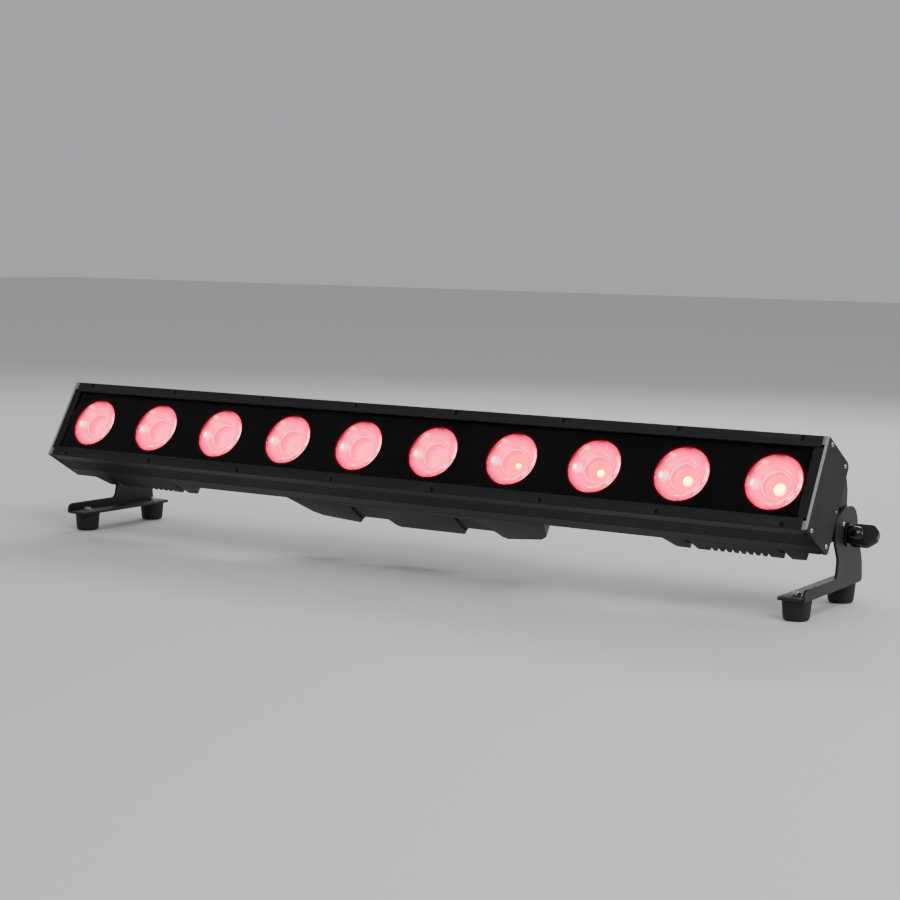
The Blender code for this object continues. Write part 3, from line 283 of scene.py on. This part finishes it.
def lit_acrylic():
    """The collimating lens, moulded in frosted acrylic: pink light fills it, paler in the middle of its
    slope and redder at the rim, with bright streaks where the mould's facets catch the emitter."""
    made, tree, shader = material("lit_frosted_acrylic", Roughness=0.22, IOR=1.49)
    shader.inputs["Base Color"].default_value = linear("#30080E")
    place = add(tree, "SeparateXYZ", Vector=add(tree, "TexCoord").outputs["Object"])
    flat = add(tree, "CombineXYZ", X=place.outputs["X"], Y=place.outputs["Z"]).outputs[0]
    reach = add(tree, "VectorMath", {"operation": "LENGTH"}, n0=flat).outputs["Value"]
    turn = add(
        tree, "Math", {"operation": "ARCTAN2"}, n0=place.outputs["Z"], n1=place.outputs["X"]
    ).outputs[0]
    share = add(tree, "Math", {"operation": "DIVIDE"}, n0=reach, n1=APERTURE_RADIUS).outputs[0]
    cloud = add(tree, "TexNoise", Vector=flat, Scale=1000 / 16, Detail=2.0, Roughness=0.45).outputs["Fac"]
    wave = add(tree, "MapRange", Value=cloud, n1=0.3, n2=0.7, n3=-0.06, n4=0.06).outputs["Result"]
    tone = add(tree, "Math", {"operation": "ADD"}, n0=share, n1=wave).outputs[0]
    glow = ramp(tree, tone, [
        (0.46, linear("#E01A54")), (0.56, linear("#E91D58")), (0.68, linear("#F4265E")),
        (0.82, linear("#D8164E")), (0.91, linear("#B40E3C")), (0.96, linear("#8A0A28")),
        (1.0, linear("#5C0414")),
    ])
    glow = blend(tree, glow, linear("#FF3A68"), soft_spot(tree, flat, (-12, 12), (15, 9), 0.0))
    # The next two spots are a painted reflection of a lamp: a near-white glint on the left of the slope in a
    # softer pink patch.
    glow = blend(tree, glow, linear("#FF7A94"), soft_spot(tree, flat, (-20.5, -1.5), (7.5, 8.5), 0.0))
    glow = blend(tree, glow, linear("#FFF4EE"), soft_spot(tree, flat, (-24.0, -1.2), (2.8, 5.4), 0.0))
    glow = blend(tree, glow, linear("#FF7068"), soft_spot(tree, flat, (-15.5, 21), (6.0, 3.6), 0.0))
    glow = blend(tree, glow, linear("#FF6E88"), soft_spot(tree, flat, (18.5, -15), (6.5, 4.5), 0.0))
    patches = add(tree, "TexNoise", Vector=flat, Scale=1000 / 7, Detail=2.0).outputs["Fac"]
    broken = add(tree, "MapRange", Value=patches, n1=0.38, n2=0.58, n3=0.15, n4=1.0).outputs["Result"]
    for radius, width, middle, spread, colour in (
        (26.4, 3.4, 8, 34, "#FF6A7C"), (27.4, 1.2, 0, 30, "#FFD8C8"), (24.8, 0.9, -18, 26, "#FFE29A"),
        (20.2, 0.9, -40, 34, "#FFC27A"), (22.8, 0.8, -80, 24, "#FFD070"), (28.0, 1.0, -42, 20, "#FFA8A0"),
        (25.8, 0.8, 140, 14, "#FF8A60"), (17.8, 0.7, 60, 26, "#FF8A90"), (18.4, 0.6, 175, 36, "#FF5A78"),
    ):
        lit = soft_arc(tree, reach, turn, radius, width, middle, spread)
        lit = add(tree, "Math", {"operation": "MULTIPLY"}, n0=lit, n1=broken).outputs[0]
        glow = blend(tree, glow, linear(colour), lit)
    for degrees in (84, 186, 276):
        notch = (29.2 * math.cos(math.radians(degrees)), 29.2 * math.sin(math.radians(degrees)))
        glow = blend(tree, glow, linear("#38030A"), soft_spot(tree, flat, notch, (1.1, 1.1), 0.5))
    link(tree, glow, shader, "Emission Color")
    shader.inputs["Emission Strength"].default_value = LENS_GLOW
    return made


def lit_throat(name, lower, floor):
    """Inside of the lens's central well: deeper pink, brightening in rings to the colour of its floor."""
    made, tree, shader = material(name, Roughness=0.15, IOR=1.49)
    shader.inputs["Base Color"].default_value = linear("#2A060C")
    depth = add(tree, "SeparateXYZ", Vector=add(tree, "TexCoord").outputs["Object"]).outputs["Y"]
    rings = add(tree, "MapRange", {"clamp": True}, Value=depth, n1=WELL_TOP, n2=WELL_FLOOR, n3=0.0, n4=1.0)
    glow = ramp(tree, rings.outputs["Result"], [
        (0.0, linear("#FF6A80")), (0.05, linear("#C8124E")), (0.35, linear("#DC1852")),
        (0.8, linear(lower)), (1.0, linear(floor)),
    ])
    link(tree, glow, shader, "Emission Color")
    shader.inputs["Emission Strength"].default_value = LENS_GLOW
    return made


def emitter_finish():
    """The colour-mixing emitter at the bottom of the well: white-yellow on top, where its warm chip shows
    through."""
    made, tree, shader = material("lit_emitter_dome", Roughness=0.2)
    shader.inputs["Base Color"].default_value = linear("#402010")
    depth = add(tree, "SeparateXYZ", Vector=add(tree, "TexCoord").outputs["Object"]).outputs["Y"]
    share = add(
        tree, "MapRange", {"clamp": True}, Value=depth, n1=WELL_FLOOR - EMITTER_HEIGHT, n2=WELL_FLOOR,
        n3=0.0, n4=1.0,
    )
    glow = ramp(tree, share.outputs["Result"], [
        (0.0, linear("#FFF0A0")), (0.25, linear("#FFE468")), (0.55, linear("#FFB428")),
        (0.85, linear("#F06030")), (1.0, linear("#D01440")),
    ])
    link(tree, glow, shader, "Emission Color")
    shader.inputs["Emission Strength"].default_value = EMITTER_GLOW
    return made


LENS_GLOW = 5.0
EMITTER_GLOW = 12.0
WELL_TOP = 15.2 * MM  # depth of the well's mouth
WELL_FLOOR = 27 * MM
WELL_RADIUS = 15 * MM
EMITTER_HEIGHT = 4 * MM
EMITTER_RADII = (1.5, 1.5, 1.5, 1.5, 1.5, 1.5, 3.2, 4.4, 5.6, 6.8)  # in mm, from the left end
FIRST_WARM_CELL = 6  # from here to the right end the cells show their warm chip

HOUSING_COAT = powder_coat("powder_coated_extrusion", "#131415", "#1E1F21", 0.5, 1.2, 0.05, 0.06)[0]
COVER_COAT = powder_coat("powder_coated_cover", "#131416", "#1D1E21", 0.52, 1.3, 0.06)[0]
RETAINER_COAT = powder_coat("powder_coated_retainer", "#0F1012", "#191A1C", 0.5, 1.0, 0.05)[0]
STRIP_COAT = powder_coat("powder_coated_strip", "#060607", "#0A0A0B", 0.6, 1.0, 0.05)[0]
BRACKET_COAT = powder_coat("powder_coated_steel_plate", "#17181B", "#202125", 0.47, 1.1, 0.05)[0]
END_PLATE_COAT = end_plate_coat()
MASK_PAINT = cell_mask_finish()
GLASS = window_glass()
ACRYLIC = lit_acrylic()
PINK_WELL = lit_throat("lit_lens_well", "#F02862", "#FF4070")
WARM_WELL = lit_throat("warm_lit_lens_well", "#EE2456", "#F83A44")
EMITTER = emitter_finish()
GLOSS_PLASTIC = moulded_plastic("gloss_moulded_nylon", "#08080A", "#101012", 0.16, 2.2, 0.01, 0.15)
MATT_PLASTIC = moulded_plastic("textured_moulded_nylon", "#141415", "#1D1D1F", 0.5, 0.9, 0.03)
BUTTON_PLASTIC = moulded_plastic("satin_moulded_keycap", "#26272A", "#303135", 0.38, 0.8, 0.01)
RUBBER = moulded_plastic("moulded_grey_rubber", "#141416", "#1C1C1E", 0.72, 1.0, 0.06, 0.6)
GASKET = moulded_plastic("black_silicone_gasket", "#0C0C0C", "#141414", 0.65, 1.0, 0.02)
ZINC = metal("zinc_plated_steel", "#A9A59E", "#D2CEC6", 0.28, 1.5)
BLACK_OXIDE = metal("black_oxide_steel", "#232323", "#3A3938", 0.35, 1.2)
ALUMINIUM = metal("mill_finish_aluminium", "#B4B5B8", "#D0D1D4", 0.35, 2.0)
METALLISED = metal("vacuum_metallised_plastic", "#D0D0D2", "#E4E4E6", 0.12, 4.0)
DISPLAY_ACRYLIC = moulded_plastic("smoked_acrylic", "#0A1016", "#0E151C", 0.06, 4.0, 0.002, 0.05)
WHITE_BOARD = moulded_plastic("white_solder_mask", "#D8D8D2", "#E6E6E0", 0.35, 2.0, 0.01)
GREEN_BOARD = moulded_plastic("green_solder_mask", "#12512F", "#1A6A3C", 0.3, 2.0, 0.01)


# ---------------------------------------------------------------- making pieces
def piece(name, mesh_or_bm, finishes, body, placed=HOUSING, replaced=(), smooth=35):
    """A finished piece in the scene: mesh, materials, smoothing, place, and the body that it rides on."""
    if isinstance(mesh_or_bm, bmesh.types.BMesh):
        mesh = bpy.data.meshes.new(name)
        mesh_or_bm.to_mesh(mesh)
        mesh_or_bm.free()
    else:
        mesh = mesh_or_bm
    made = bpy.data.objects.new(name, mesh)
    bpy.context.scene.collection.objects.link(made)
    for finish in finishes:
        mesh.materials.append(finish)
    mesh.shade_smooth()
    mesh.set_sharp_from_angle(angle=math.radians(smooth))
    made.matrix_world = placed
    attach(made, body)
    if replaced:
        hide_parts(*replaced)
    return made


def rounded_copy(node, finish, body, radius_mm, segments=2, placed=HOUSING):
    """Stands for a solid whose shape is right, with its edges rolled as the real ones are, so that they
    catch light."""
    bm = bmesh.new()
    bm.from_mesh(frame["nodes"][node].data)
    bmesh.ops.transform(bm, matrix=placed.inverted(), verts=bm.verts)
    bmesh.ops.remove_doubles(bm, verts=bm.verts, dist=2e-6)
    bmesh.ops.dissolve_limit(bm, angle_limit=math.radians(0.6), verts=bm.verts, edges=bm.edges)
    made = piece(f"{node}_body", bm, [finish], body, placed, (node,), 30)
    roll = made.modifiers.new("rolled_edges", "BEVEL")
    roll.width = radius_mm * MM
    roll.segments = segments
    roll.limit_method = "ANGLE"
    roll.angle_limit = math.radians(32)
    roll.use_clamp_overlap = True
    roll.harden_normals = True
    return made


def axis_point(axis, a, b, along, centre):
    """A point at (a, b) across an axis and a distance along it, from a centre."""
    offset = {"X": (along, a, b), "Y": (a, along, b), "Z": (a, b, along)}[axis]
    return Vector(centre) + Vector(offset)


def ring_of_points(bm, radius, along, sides, axis, centre):
    """Adds points evenly around an axis, or the one point on it when radius is 0."""
    return [
        bm.verts.new(axis_point(
            axis, radius * math.cos(2 * math.pi * i / sides), radius * math.sin(2 * math.pi * i / sides),
            along, centre,
        ))
        for i in range(sides if radius > 0 else 1)
    ]


def join_rings(bm, rings):
    """Adds a band of faces between each ring of points and the next."""
    for first, second in zip(rings, rings[1:]):
        for i in range(len(first)):
            j = (i + 1) % len(first)
            bm.faces.new((first[i], first[j], second[j], second[i]))


def turn_profile(bm, profile, sides, axis="Y", centre=(0, 0, 0), material_index=None):
    """Adds a closed surface made by spinning (radius, distance along the axis) points around the axis."""
    rings = [ring_of_points(bm, radius, along, sides, axis, centre) for radius, along in profile]
    made = []
    for first, second in zip(rings, rings[1:]):
        for i in range(sides):
            j = (i + 1) % sides
            places = ((first, i), (first, j), (second, j), (second, i))
            corners = list(dict.fromkeys(ring[k % len(ring)] for ring, k in places))
            if len(corners) > 2:
                made.append(bm.faces.new(corners))
    if material_index is not None:
        for face, ring in zip(made, [r for r in range(len(profile) - 1) for _ in range(sides)]):
            face.material_index = material_index[ring]


def socket_screw(bm, centre, axis, sign, head_radius, top, socket_radius):
    """A screw head, top high, with a hexagonal socket; it faces along sign times the axis."""
    sides = 24
    crown = [
        (head_radius, 0.0), (head_radius, top * 0.55), (head_radius - top * 0.25, top * 0.92),
        (head_radius - top * 0.5, top), (socket_radius * 1.25, top), (socket_radius * 1.08, top),
    ]
    rings = [ring_of_points(bm, radius, sign * along, sides, axis, centre) for radius, along in crown]
    hexagon_top, hexagon_floor = [], []
    for i in range(sides):
        angle = 2 * math.pi * i / sides
        corner = math.cos(math.pi / 6) / math.cos((angle % (math.pi / 3)) - math.pi / 6)
        x, y = socket_radius * corner * math.cos(angle), socket_radius * corner * math.sin(angle)
        hexagon_top.append(bm.verts.new(axis_point(axis, x, y, sign * (top - 0.02 * MM), centre)))
        hexagon_floor.append(bm.verts.new(axis_point(axis, x, y, sign * (top * 0.35), centre)))
    rings += [hexagon_top, hexagon_floor]
    join_rings(bm, rings)
    bm.faces.new(hexagon_floor)
    bm.faces.new(list(reversed(rings[0])))


def finish_mesh(bm):
    bmesh.ops.recalc_face_normals(bm, faces=bm.faces)
    return bm


# ---------------------------------------------------------------- lit cells
def make_cell_mesh(emitter):
    """One lens as seen through its hole: a frosted slope down to a well, and the emitter on the well's
    floor. The profile starts at the back, goes round the rim and comes down the slope."""
    bm = bmesh.new()
    slope = [
        (0.0, WELL_FLOOR + 2 * MM), (12.8 * MM, WELL_FLOOR + 2 * MM),
        (WELL_RADIUS + 1 * MM, WELL_TOP + 3 * MM), (APERTURE_RADIUS + 0.9 * MM, MASK_REAR + 2.4 * MM),
        (APERTURE_RADIUS + 1.4 * MM, MASK_REAR + 0.5 * MM),
        (APERTURE_RADIUS - 0.2 * MM, MASK_REAR + 0.35 * MM),
        (APERTURE_RADIUS - 0.9 * MM, MASK_REAR + 0.9 * MM),
    ]
    bands = [0] * (len(slope) - 1)
    steps = 10
    top_radius, top_depth = APERTURE_RADIUS - 1 * MM, MASK_REAR + 1 * MM
    for i in range(1, steps + 1):
        share = i / steps
        radius = top_radius + share * (WELL_RADIUS + 0.6 * MM - top_radius)
        depth = top_depth + (WELL_TOP - top_depth) * (0.35 * share + 0.65 * share * share)
        slope.append((radius, depth))
        bands.append(0)
    slope += [(WELL_RADIUS + 0.2 * MM, WELL_TOP - 0.35 * MM), (WELL_RADIUS - 0.4 * MM, WELL_TOP - 0.1 * MM)]
    bands += [0, 1]
    for share, radius in ((0.15, 14.3), (0.3, 14.1), (0.34, 13.5), (0.6, 13.1), (0.66, 12.5), (1.0, 12.0)):
        slope.append((radius * MM, WELL_TOP + share * (WELL_FLOOR - WELL_TOP)))
        bands.append(1)
    slope += [
        (emitter, WELL_FLOOR), (emitter * 0.92, WELL_FLOOR - 0.4 * EMITTER_HEIGHT),
        (emitter * 0.72, WELL_FLOOR - 0.75 * EMITTER_HEIGHT),
        (emitter * 0.4, WELL_FLOOR - 0.94 * EMITTER_HEIGHT),
        (0.0, WELL_FLOOR - EMITTER_HEIGHT),
    ]
    bands += [1, 2, 2, 2, 2]
    turn_profile(bm, slope, 72, "Y", (0, 0, 0), bands)
    bmesh.ops.recalc_face_normals(bm, faces=bm.faces)
    mesh = bpy.data.meshes.new("cell_lens")
    bm.to_mesh(mesh)
    bm.free()
    return mesh


def make_cells():
    for i in range(CELL_COUNT):
        x = (i - (CELL_COUNT - 1) / 2) * CELL_PITCH
        well, emitter = (WARM_WELL, EMITTER) if i >= FIRST_WARM_CELL else (PINK_WELL, PINK_WELL)
        piece(
            f"cell_lens_{i + 1:02d}", make_cell_mesh(EMITTER_RADII[i] * MM), [ACRYLIC, well, emitter],
            "housing", HOUSING @ Matrix.Translation((x, 0, 0)), (f"lens_{i + 1:02d}",), 50,
        )


# ---------------------------------------------------------------- screws and other small hardware
def make_retainer_screws():
    bm = bmesh.new()
    for up in (-1, 1):
        for i in range(RETAINER_SCREWS):
            x = (i - (RETAINER_SCREWS - 1) / 2) * RETAINER_SCREW_PITCH
            centre = (x, 2.3 * MM, up * RETAINER_SCREW_HEIGHT)
            socket_screw(bm, centre, "Y", -1, 2.15 * MM, 1.2 * MM, 1.1 * MM)
    piece("retainer_screws", finish_mesh(bm), [BLACK_OXIDE], "housing")


def make_end_plate_screws(side, name):
    bm = bmesh.new()
    for up in (-1, 1):
        for height, depth in END_PLATE_SCREWS:
            centre = (side * END_FACE, depth * MM, up * height * MM)
            socket_screw(bm, centre, "X", side, 2.5 * MM, 1.4 * MM, 1.25 * MM)
    plug = [(0.0, 0.9 * MM), (0.9 * MM, 0.8 * MM), (1.3 * MM, 0.4 * MM), (1.3 * MM, 0.0), (0.0, 0.0)]
    turned = [(radius, side * along) for radius, along in plug]
    turn_profile(bm, turned, 20, "X", (side * END_FACE, 60 * MM, -4 * MM))
    piece(name, finish_mesh(bm), [ZINC], "housing")


def make_cover_screws():
    """Rear cover screws: along the pan's two long edges, on the driver housing and on the vent housings."""
    bm = bmesh.new()
    for up in (-1, 1):
        centres = []
        for side in (-1, 1):
            centres += [(side * x * MM, PAN_REAR, up * PAN_SCREW_HEIGHT) for x in PAN_SCREW_X]
            centres.append((side * HUMP_SCREW_X, HUMP_DEPTH, up * HUMP_SCREW_HEIGHT))
            for along in (-VENT_SCREW_X, VENT_SCREW_X):
                centres.append((side * VENT_CENTRE + along, VENT_DEPTH - 0.4 * MM, up * VENT_SCREW_HEIGHT))
        for centre in centres:
            socket_screw(bm, centre, "Y", 1, 1.9 * MM, 1.2 * MM, 0.95 * MM)
    piece("cover_screws", finish_mesh(bm), [BLACK_OXIDE], "housing")


def make_connector_screws():
    """Two screws in opposite corners of each connector's flange."""
    bm = bmesh.new()
    slope = math.atan2(10, 49)
    for side in (-1, 1):
        for up in (-1, 1):
            seat = Matrix.Translation((side * 125.5 * MM, 122 * MM, up * 20 * MM)) @ Matrix.Rotation(
                -side * slope, 4, "Z"
            )
            start = len(bm.verts)
            for corner in (-1, 1):
                centre = (corner * 10.4 * MM, 2.7 * MM, corner * 12.8 * MM)
                socket_screw(bm, centre, "Y", 1, 1.6 * MM, 1.0 * MM, 0.8 * MM)
            bm.verts.ensure_lookup_table()
            bmesh.ops.transform(bm, matrix=seat, verts=bm.verts[start:])
    piece("connector_screws", finish_mesh(bm), [ZINC], "housing")


def make_bracket_hardware(side, prefix):
    """Nuts and washers that hold the feet, and the stop screw beside the pivot."""
    bm = bmesh.new()
    for y in FOOT_Y:
        centre = Vector((side * FOOT_X, PIVOT.y + y, FLANGE_TOP))
        washer = [
            (2.7 * MM, 0.05 * MM), (5 * MM, 0.05 * MM), (5.2 * MM, 0.25 * MM), (5.2 * MM, 0.85 * MM),
            (5 * MM, 1 * MM), (2.7 * MM, 1 * MM), (2.7 * MM, 0.05 * MM),
        ]
        turn_profile(bm, washer, 28, "Z", centre)
        add_nut(bm, centre + Vector((0, 0, 1.05 * MM)), 4.0 * MM, 2.6 * MM, 2.65 * MM)
    stop = Vector((side * BRACKET_OUTER, PIVOT.y - 14.5 * MM, PIVOT.z + 12.5 * MM))
    socket_screw(bm, stop, "X", side, 2.7 * MM, 2.2 * MM, 1.3 * MM)
    piece(
        f"{prefix}_bracket_hardware", finish_mesh(bm), [ZINC], f"{prefix}_bracket",
        Matrix.Identity(4),
    )


def add_nut(bm, base, flat_radius, height, bore):
    """A hexagon nut standing on base, with chamfered corners and an open bore."""
    sides = 36
    rings = []
    for level, grow in ((0.0, 0.93), (0.12, 1.0), (0.88, 1.0), (1.0, 0.93)):
        ring = []
        for i in range(sides):
            angle = 2 * math.pi * i / sides
            reach = flat_radius / math.cos((angle % (math.pi / 3)) - math.pi / 6)
            reach = min(reach, flat_radius * 1.1547 * grow) if grow < 1 else reach
            ring.append(bm.verts.new(base + Vector((
                reach * math.cos(angle), reach * math.sin(angle), level * height,
            ))))
        rings.append(ring)
    for level in (1.0, 0.0):
        rings.append(ring_of_points(bm, bore, level * height, sides, "Z", base))
    rings.append(rings[0])
    join_rings(bm, rings)


# ---------------------------------------------------------------- turned pieces
def make_foot(node, body):
    """A moulded rubber foot: a tapering cup with a rolled foot edge and a faint mould ring below its top."""
    low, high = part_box(node)
    centre = ((low.x + high.x) / 2, (low.y + high.y) / 2, 0)
    profile = [
        (2.9, 20.6), (13.9, 20.6), (14.6, 20.4), (14.95, 19.9), (14.98, 19.2), (14.9, 18.2), (14.62, 17.8),
        (14.72, 17.4), (14.3, 12.0), (13.75, 6.0), (13.45, 3.4), (13.1, 1.9), (12.4, 0.75), (11.4, 0.15),
        (10.4, 0.0), (6.3, 0.0), (6.0, 0.3), (6.0, 5.0), (2.9, 5.0), (2.9, 20.6),
    ]
    bm = bmesh.new()
    turn_profile(bm, [(r * MM, h * MM) for r, h in profile], 64, "Z", centre)
    piece(f"{node}_rubber", finish_mesh(bm), [RUBBER], body, Matrix.Identity(4), (node,), 40)


def make_washer(side, node, body):
    low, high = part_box(node)
    start, end = (low.x, high.x) if side > 0 else (high.x, low.x)
    thick = end - start
    profile = [
        (4.2 * MM, 0.0), (12.2 * MM, 0.0), (12.45 * MM, thick * 0.12), (12.45 * MM, thick * 0.8),
        (12.1 * MM, thick), (4.5 * MM, thick), (4.2 * MM, thick * 0.85), (4.2 * MM, 0.0),
    ]
    bm = bmesh.new()
    turn_profile(bm, profile, 64, "X", (start, PIVOT.y, PIVOT.z))
    piece(
        f"{node}_steel", finish_mesh(bm), [BLACK_OXIDE], body, Matrix.Identity(4),
        (node,), 40,
    )


# ---------------------------------------------------------------- the pieces
make_cells()

for node, finish, slot, radius in (
    ("top_retainer", RETAINER_COAT, "black_powder_coat", 0.25),
    ("bottom_retainer", RETAINER_COAT, "black_powder_coat", 0.25),
    ("left_side_strip", STRIP_COAT, "black_powder_coat", 0.2),
    ("right_side_strip", STRIP_COAT, "black_powder_coat", 0.2),
    ("cell_mask", MASK_PAINT, "matt_black_plastic", 0.1),
    ("left_end_plate", END_PLATE_COAT, "black_powder_coat", 0.2),
    ("right_end_plate", END_PLATE_COAT, "black_powder_coat", 0.2),
    ("rear_pan", COVER_COAT, "black_powder_coat", 0.25),
    ("driver_housing", COVER_COAT, "black_powder_coat", 0.4),
    ("left_vent_housing", COVER_COAT, "black_powder_coat", 0.3),
    ("right_vent_housing", COVER_COAT, "black_powder_coat", 0.3),
    ("left_pivot_cheek", BRACKET_COAT, "bracket_powder_coat", 0.3),
    ("right_pivot_cheek", BRACKET_COAT, "bracket_powder_coat", 0.3),
    ("control_panel", MATT_PLASTIC, "matt_black_plastic", 0.3),
    ("power_inlet", MATT_PLASTIC, "matt_black_plastic", 0.25),
    ("power_outlet", MATT_PLASTIC, "matt_black_plastic", 0.25),
    ("data_inlet", MATT_PLASTIC, "matt_black_plastic", 0.25),
    ("data_outlet", MATT_PLASTIC, "matt_black_plastic", 0.25),
):
    rounded_copy(node, finish, "housing", radius)
rounded_copy("data_latch", ZINC, "data_latch", 0.15)

for hand, prefix in ((-1, "left"), (1, "right")):
    for name, finish, slot, radius, segments in (
        (f"{prefix}_bracket", BRACKET_COAT, "bracket_powder_coat", 0.35, 2),
        (f"{prefix}_knob", GLOSS_PLASTIC, "gloss_black_plastic", 0.5, 3),
    ):
        rounded_copy(name, finish, name, radius, segments, Matrix.Identity(4))
    make_washer(hand, f"{prefix}_clamp_washer", f"{prefix}_clamp_washer")
    make_end_plate_screws(hand, f"{prefix}_end_plate_screws")
    make_bracket_hardware(hand, prefix)
    for end in ("front", "rear"):
        make_foot(f"{prefix}_{end}_foot", f"{prefix}_bracket")
make_retainer_screws()
make_cover_screws()
make_connector_screws()

kept = {
    "main_housing": HOUSING_COAT, "front_window": GLASS, "window_gasket": GASKET,
    "reflector_tray": METALLISED, "led_board": WHITE_BOARD, "heatsink": ALUMINIUM, "power_supply": ALUMINIUM,
    "driver_board": GREEN_BOARD, "display_window": DISPLAY_ACRYLIC, "left_fan_frame": MATT_PLASTIC,
    "right_fan_frame": MATT_PLASTIC, "left_fan_rotor": GLOSS_PLASTIC, "right_fan_rotor": GLOSS_PLASTIC,
}
for name in ("menu", "down", "up", "enter"):
    kept[f"{name}_button"] = BUTTON_PLASTIC
for prefix in ("left", "right"):
    for end in ("front", "rear"):
        kept[f"{prefix}_{end}_foot_bolt"] = ZINC
for node, finish in kept.items():
    mesh = frame["nodes"][node].data
    mesh.materials.clear()
    mesh.materials.append(finish)

# ---------------------------------------------------------------- studio
floor_bm = bmesh.new()
bmesh.ops.create_grid(floor_bm, x_segments=1, y_segments=1, size=12)
floor_mesh = bpy.data.meshes.new("studio_floor")
floor_bm.to_mesh(floor_mesh)
floor_bm.free()
floor = bpy.data.objects.new("studio_floor", floor_mesh)
bpy.context.scene.collection.objects.link(floor)
floor_material, _, _ = material("pale_studio_paper", Base_Color=linear("#DDDCDA"), Roughness=0.9)
floor_mesh.materials.append(floor_material)
floor.location.z = -0.0003

world = bpy.data.worlds.new("soft_studio")
bpy.context.scene.world = world
world.use_nodes = True
world.node_tree.nodes["Background"].inputs["Color"].default_value = linear("#E4E5E8")
world.node_tree.nodes["Background"].inputs["Strength"].default_value = 0.55


def soft_light(name, location, target, size, watts, colour="#FFFFFF"):
    data = bpy.data.lights.new(name, "AREA")
    data.shape = "RECTANGLE"
    data.size, data.size_y = size
    data.energy = watts
    data.color = linear(colour)[:3]
    made = bpy.data.objects.new(name, data)
    bpy.context.scene.collection.objects.link(made)
    made.location = location
    made.rotation_euler = (Vector(target) - Vector(location)).to_track_quat("-Z", "Y").to_euler()
    return made


soft_light("key_softbox", (1.6, -1.2, 2.2), (0.2, 0, 0.1), (1.6, 1.2), 34)
soft_light("back_strip", (-0.6, 1.9, 1.5), (0, 0, 0.1), (2.4, 0.5), 26)
soft_light("side_softbox", (2.4, 0.4, 0.9), (0.45, 0, 0.1), (1.0, 1.4), 16)

# ---------------------------------------------------------------- camera
LENS_MM = 75.22
SENSOR_MM = 36
CAMERA_FROM_FRONT = Vector((1.16538, -1.71355, 0.22039))  # from the middle of the front face
right = Vector((0.84276, 0.53802, 0.01727))
up = Vector((-0.07223, 0.08125, 0.99407))
back = Vector((0.53342, -0.83901, 0.10733))

camera_data = bpy.data.cameras.new("camera")
camera_data.lens = LENS_MM
camera_data.sensor_width = SENSOR_MM
camera_data.clip_end = 60
camera = bpy.data.objects.new("camera", camera_data)
bpy.context.scene.collection.objects.link(camera)
camera.matrix_world = Matrix.Translation(HOUSING.translation + CAMERA_FROM_FRONT) @ Matrix((
    (right.x, up.x, back.x, 0), (right.y, up.y, back.y, 0), (right.z, up.z, back.z, 0), (0, 0, 0, 1),
))
bpy.context.scene.camera = camera
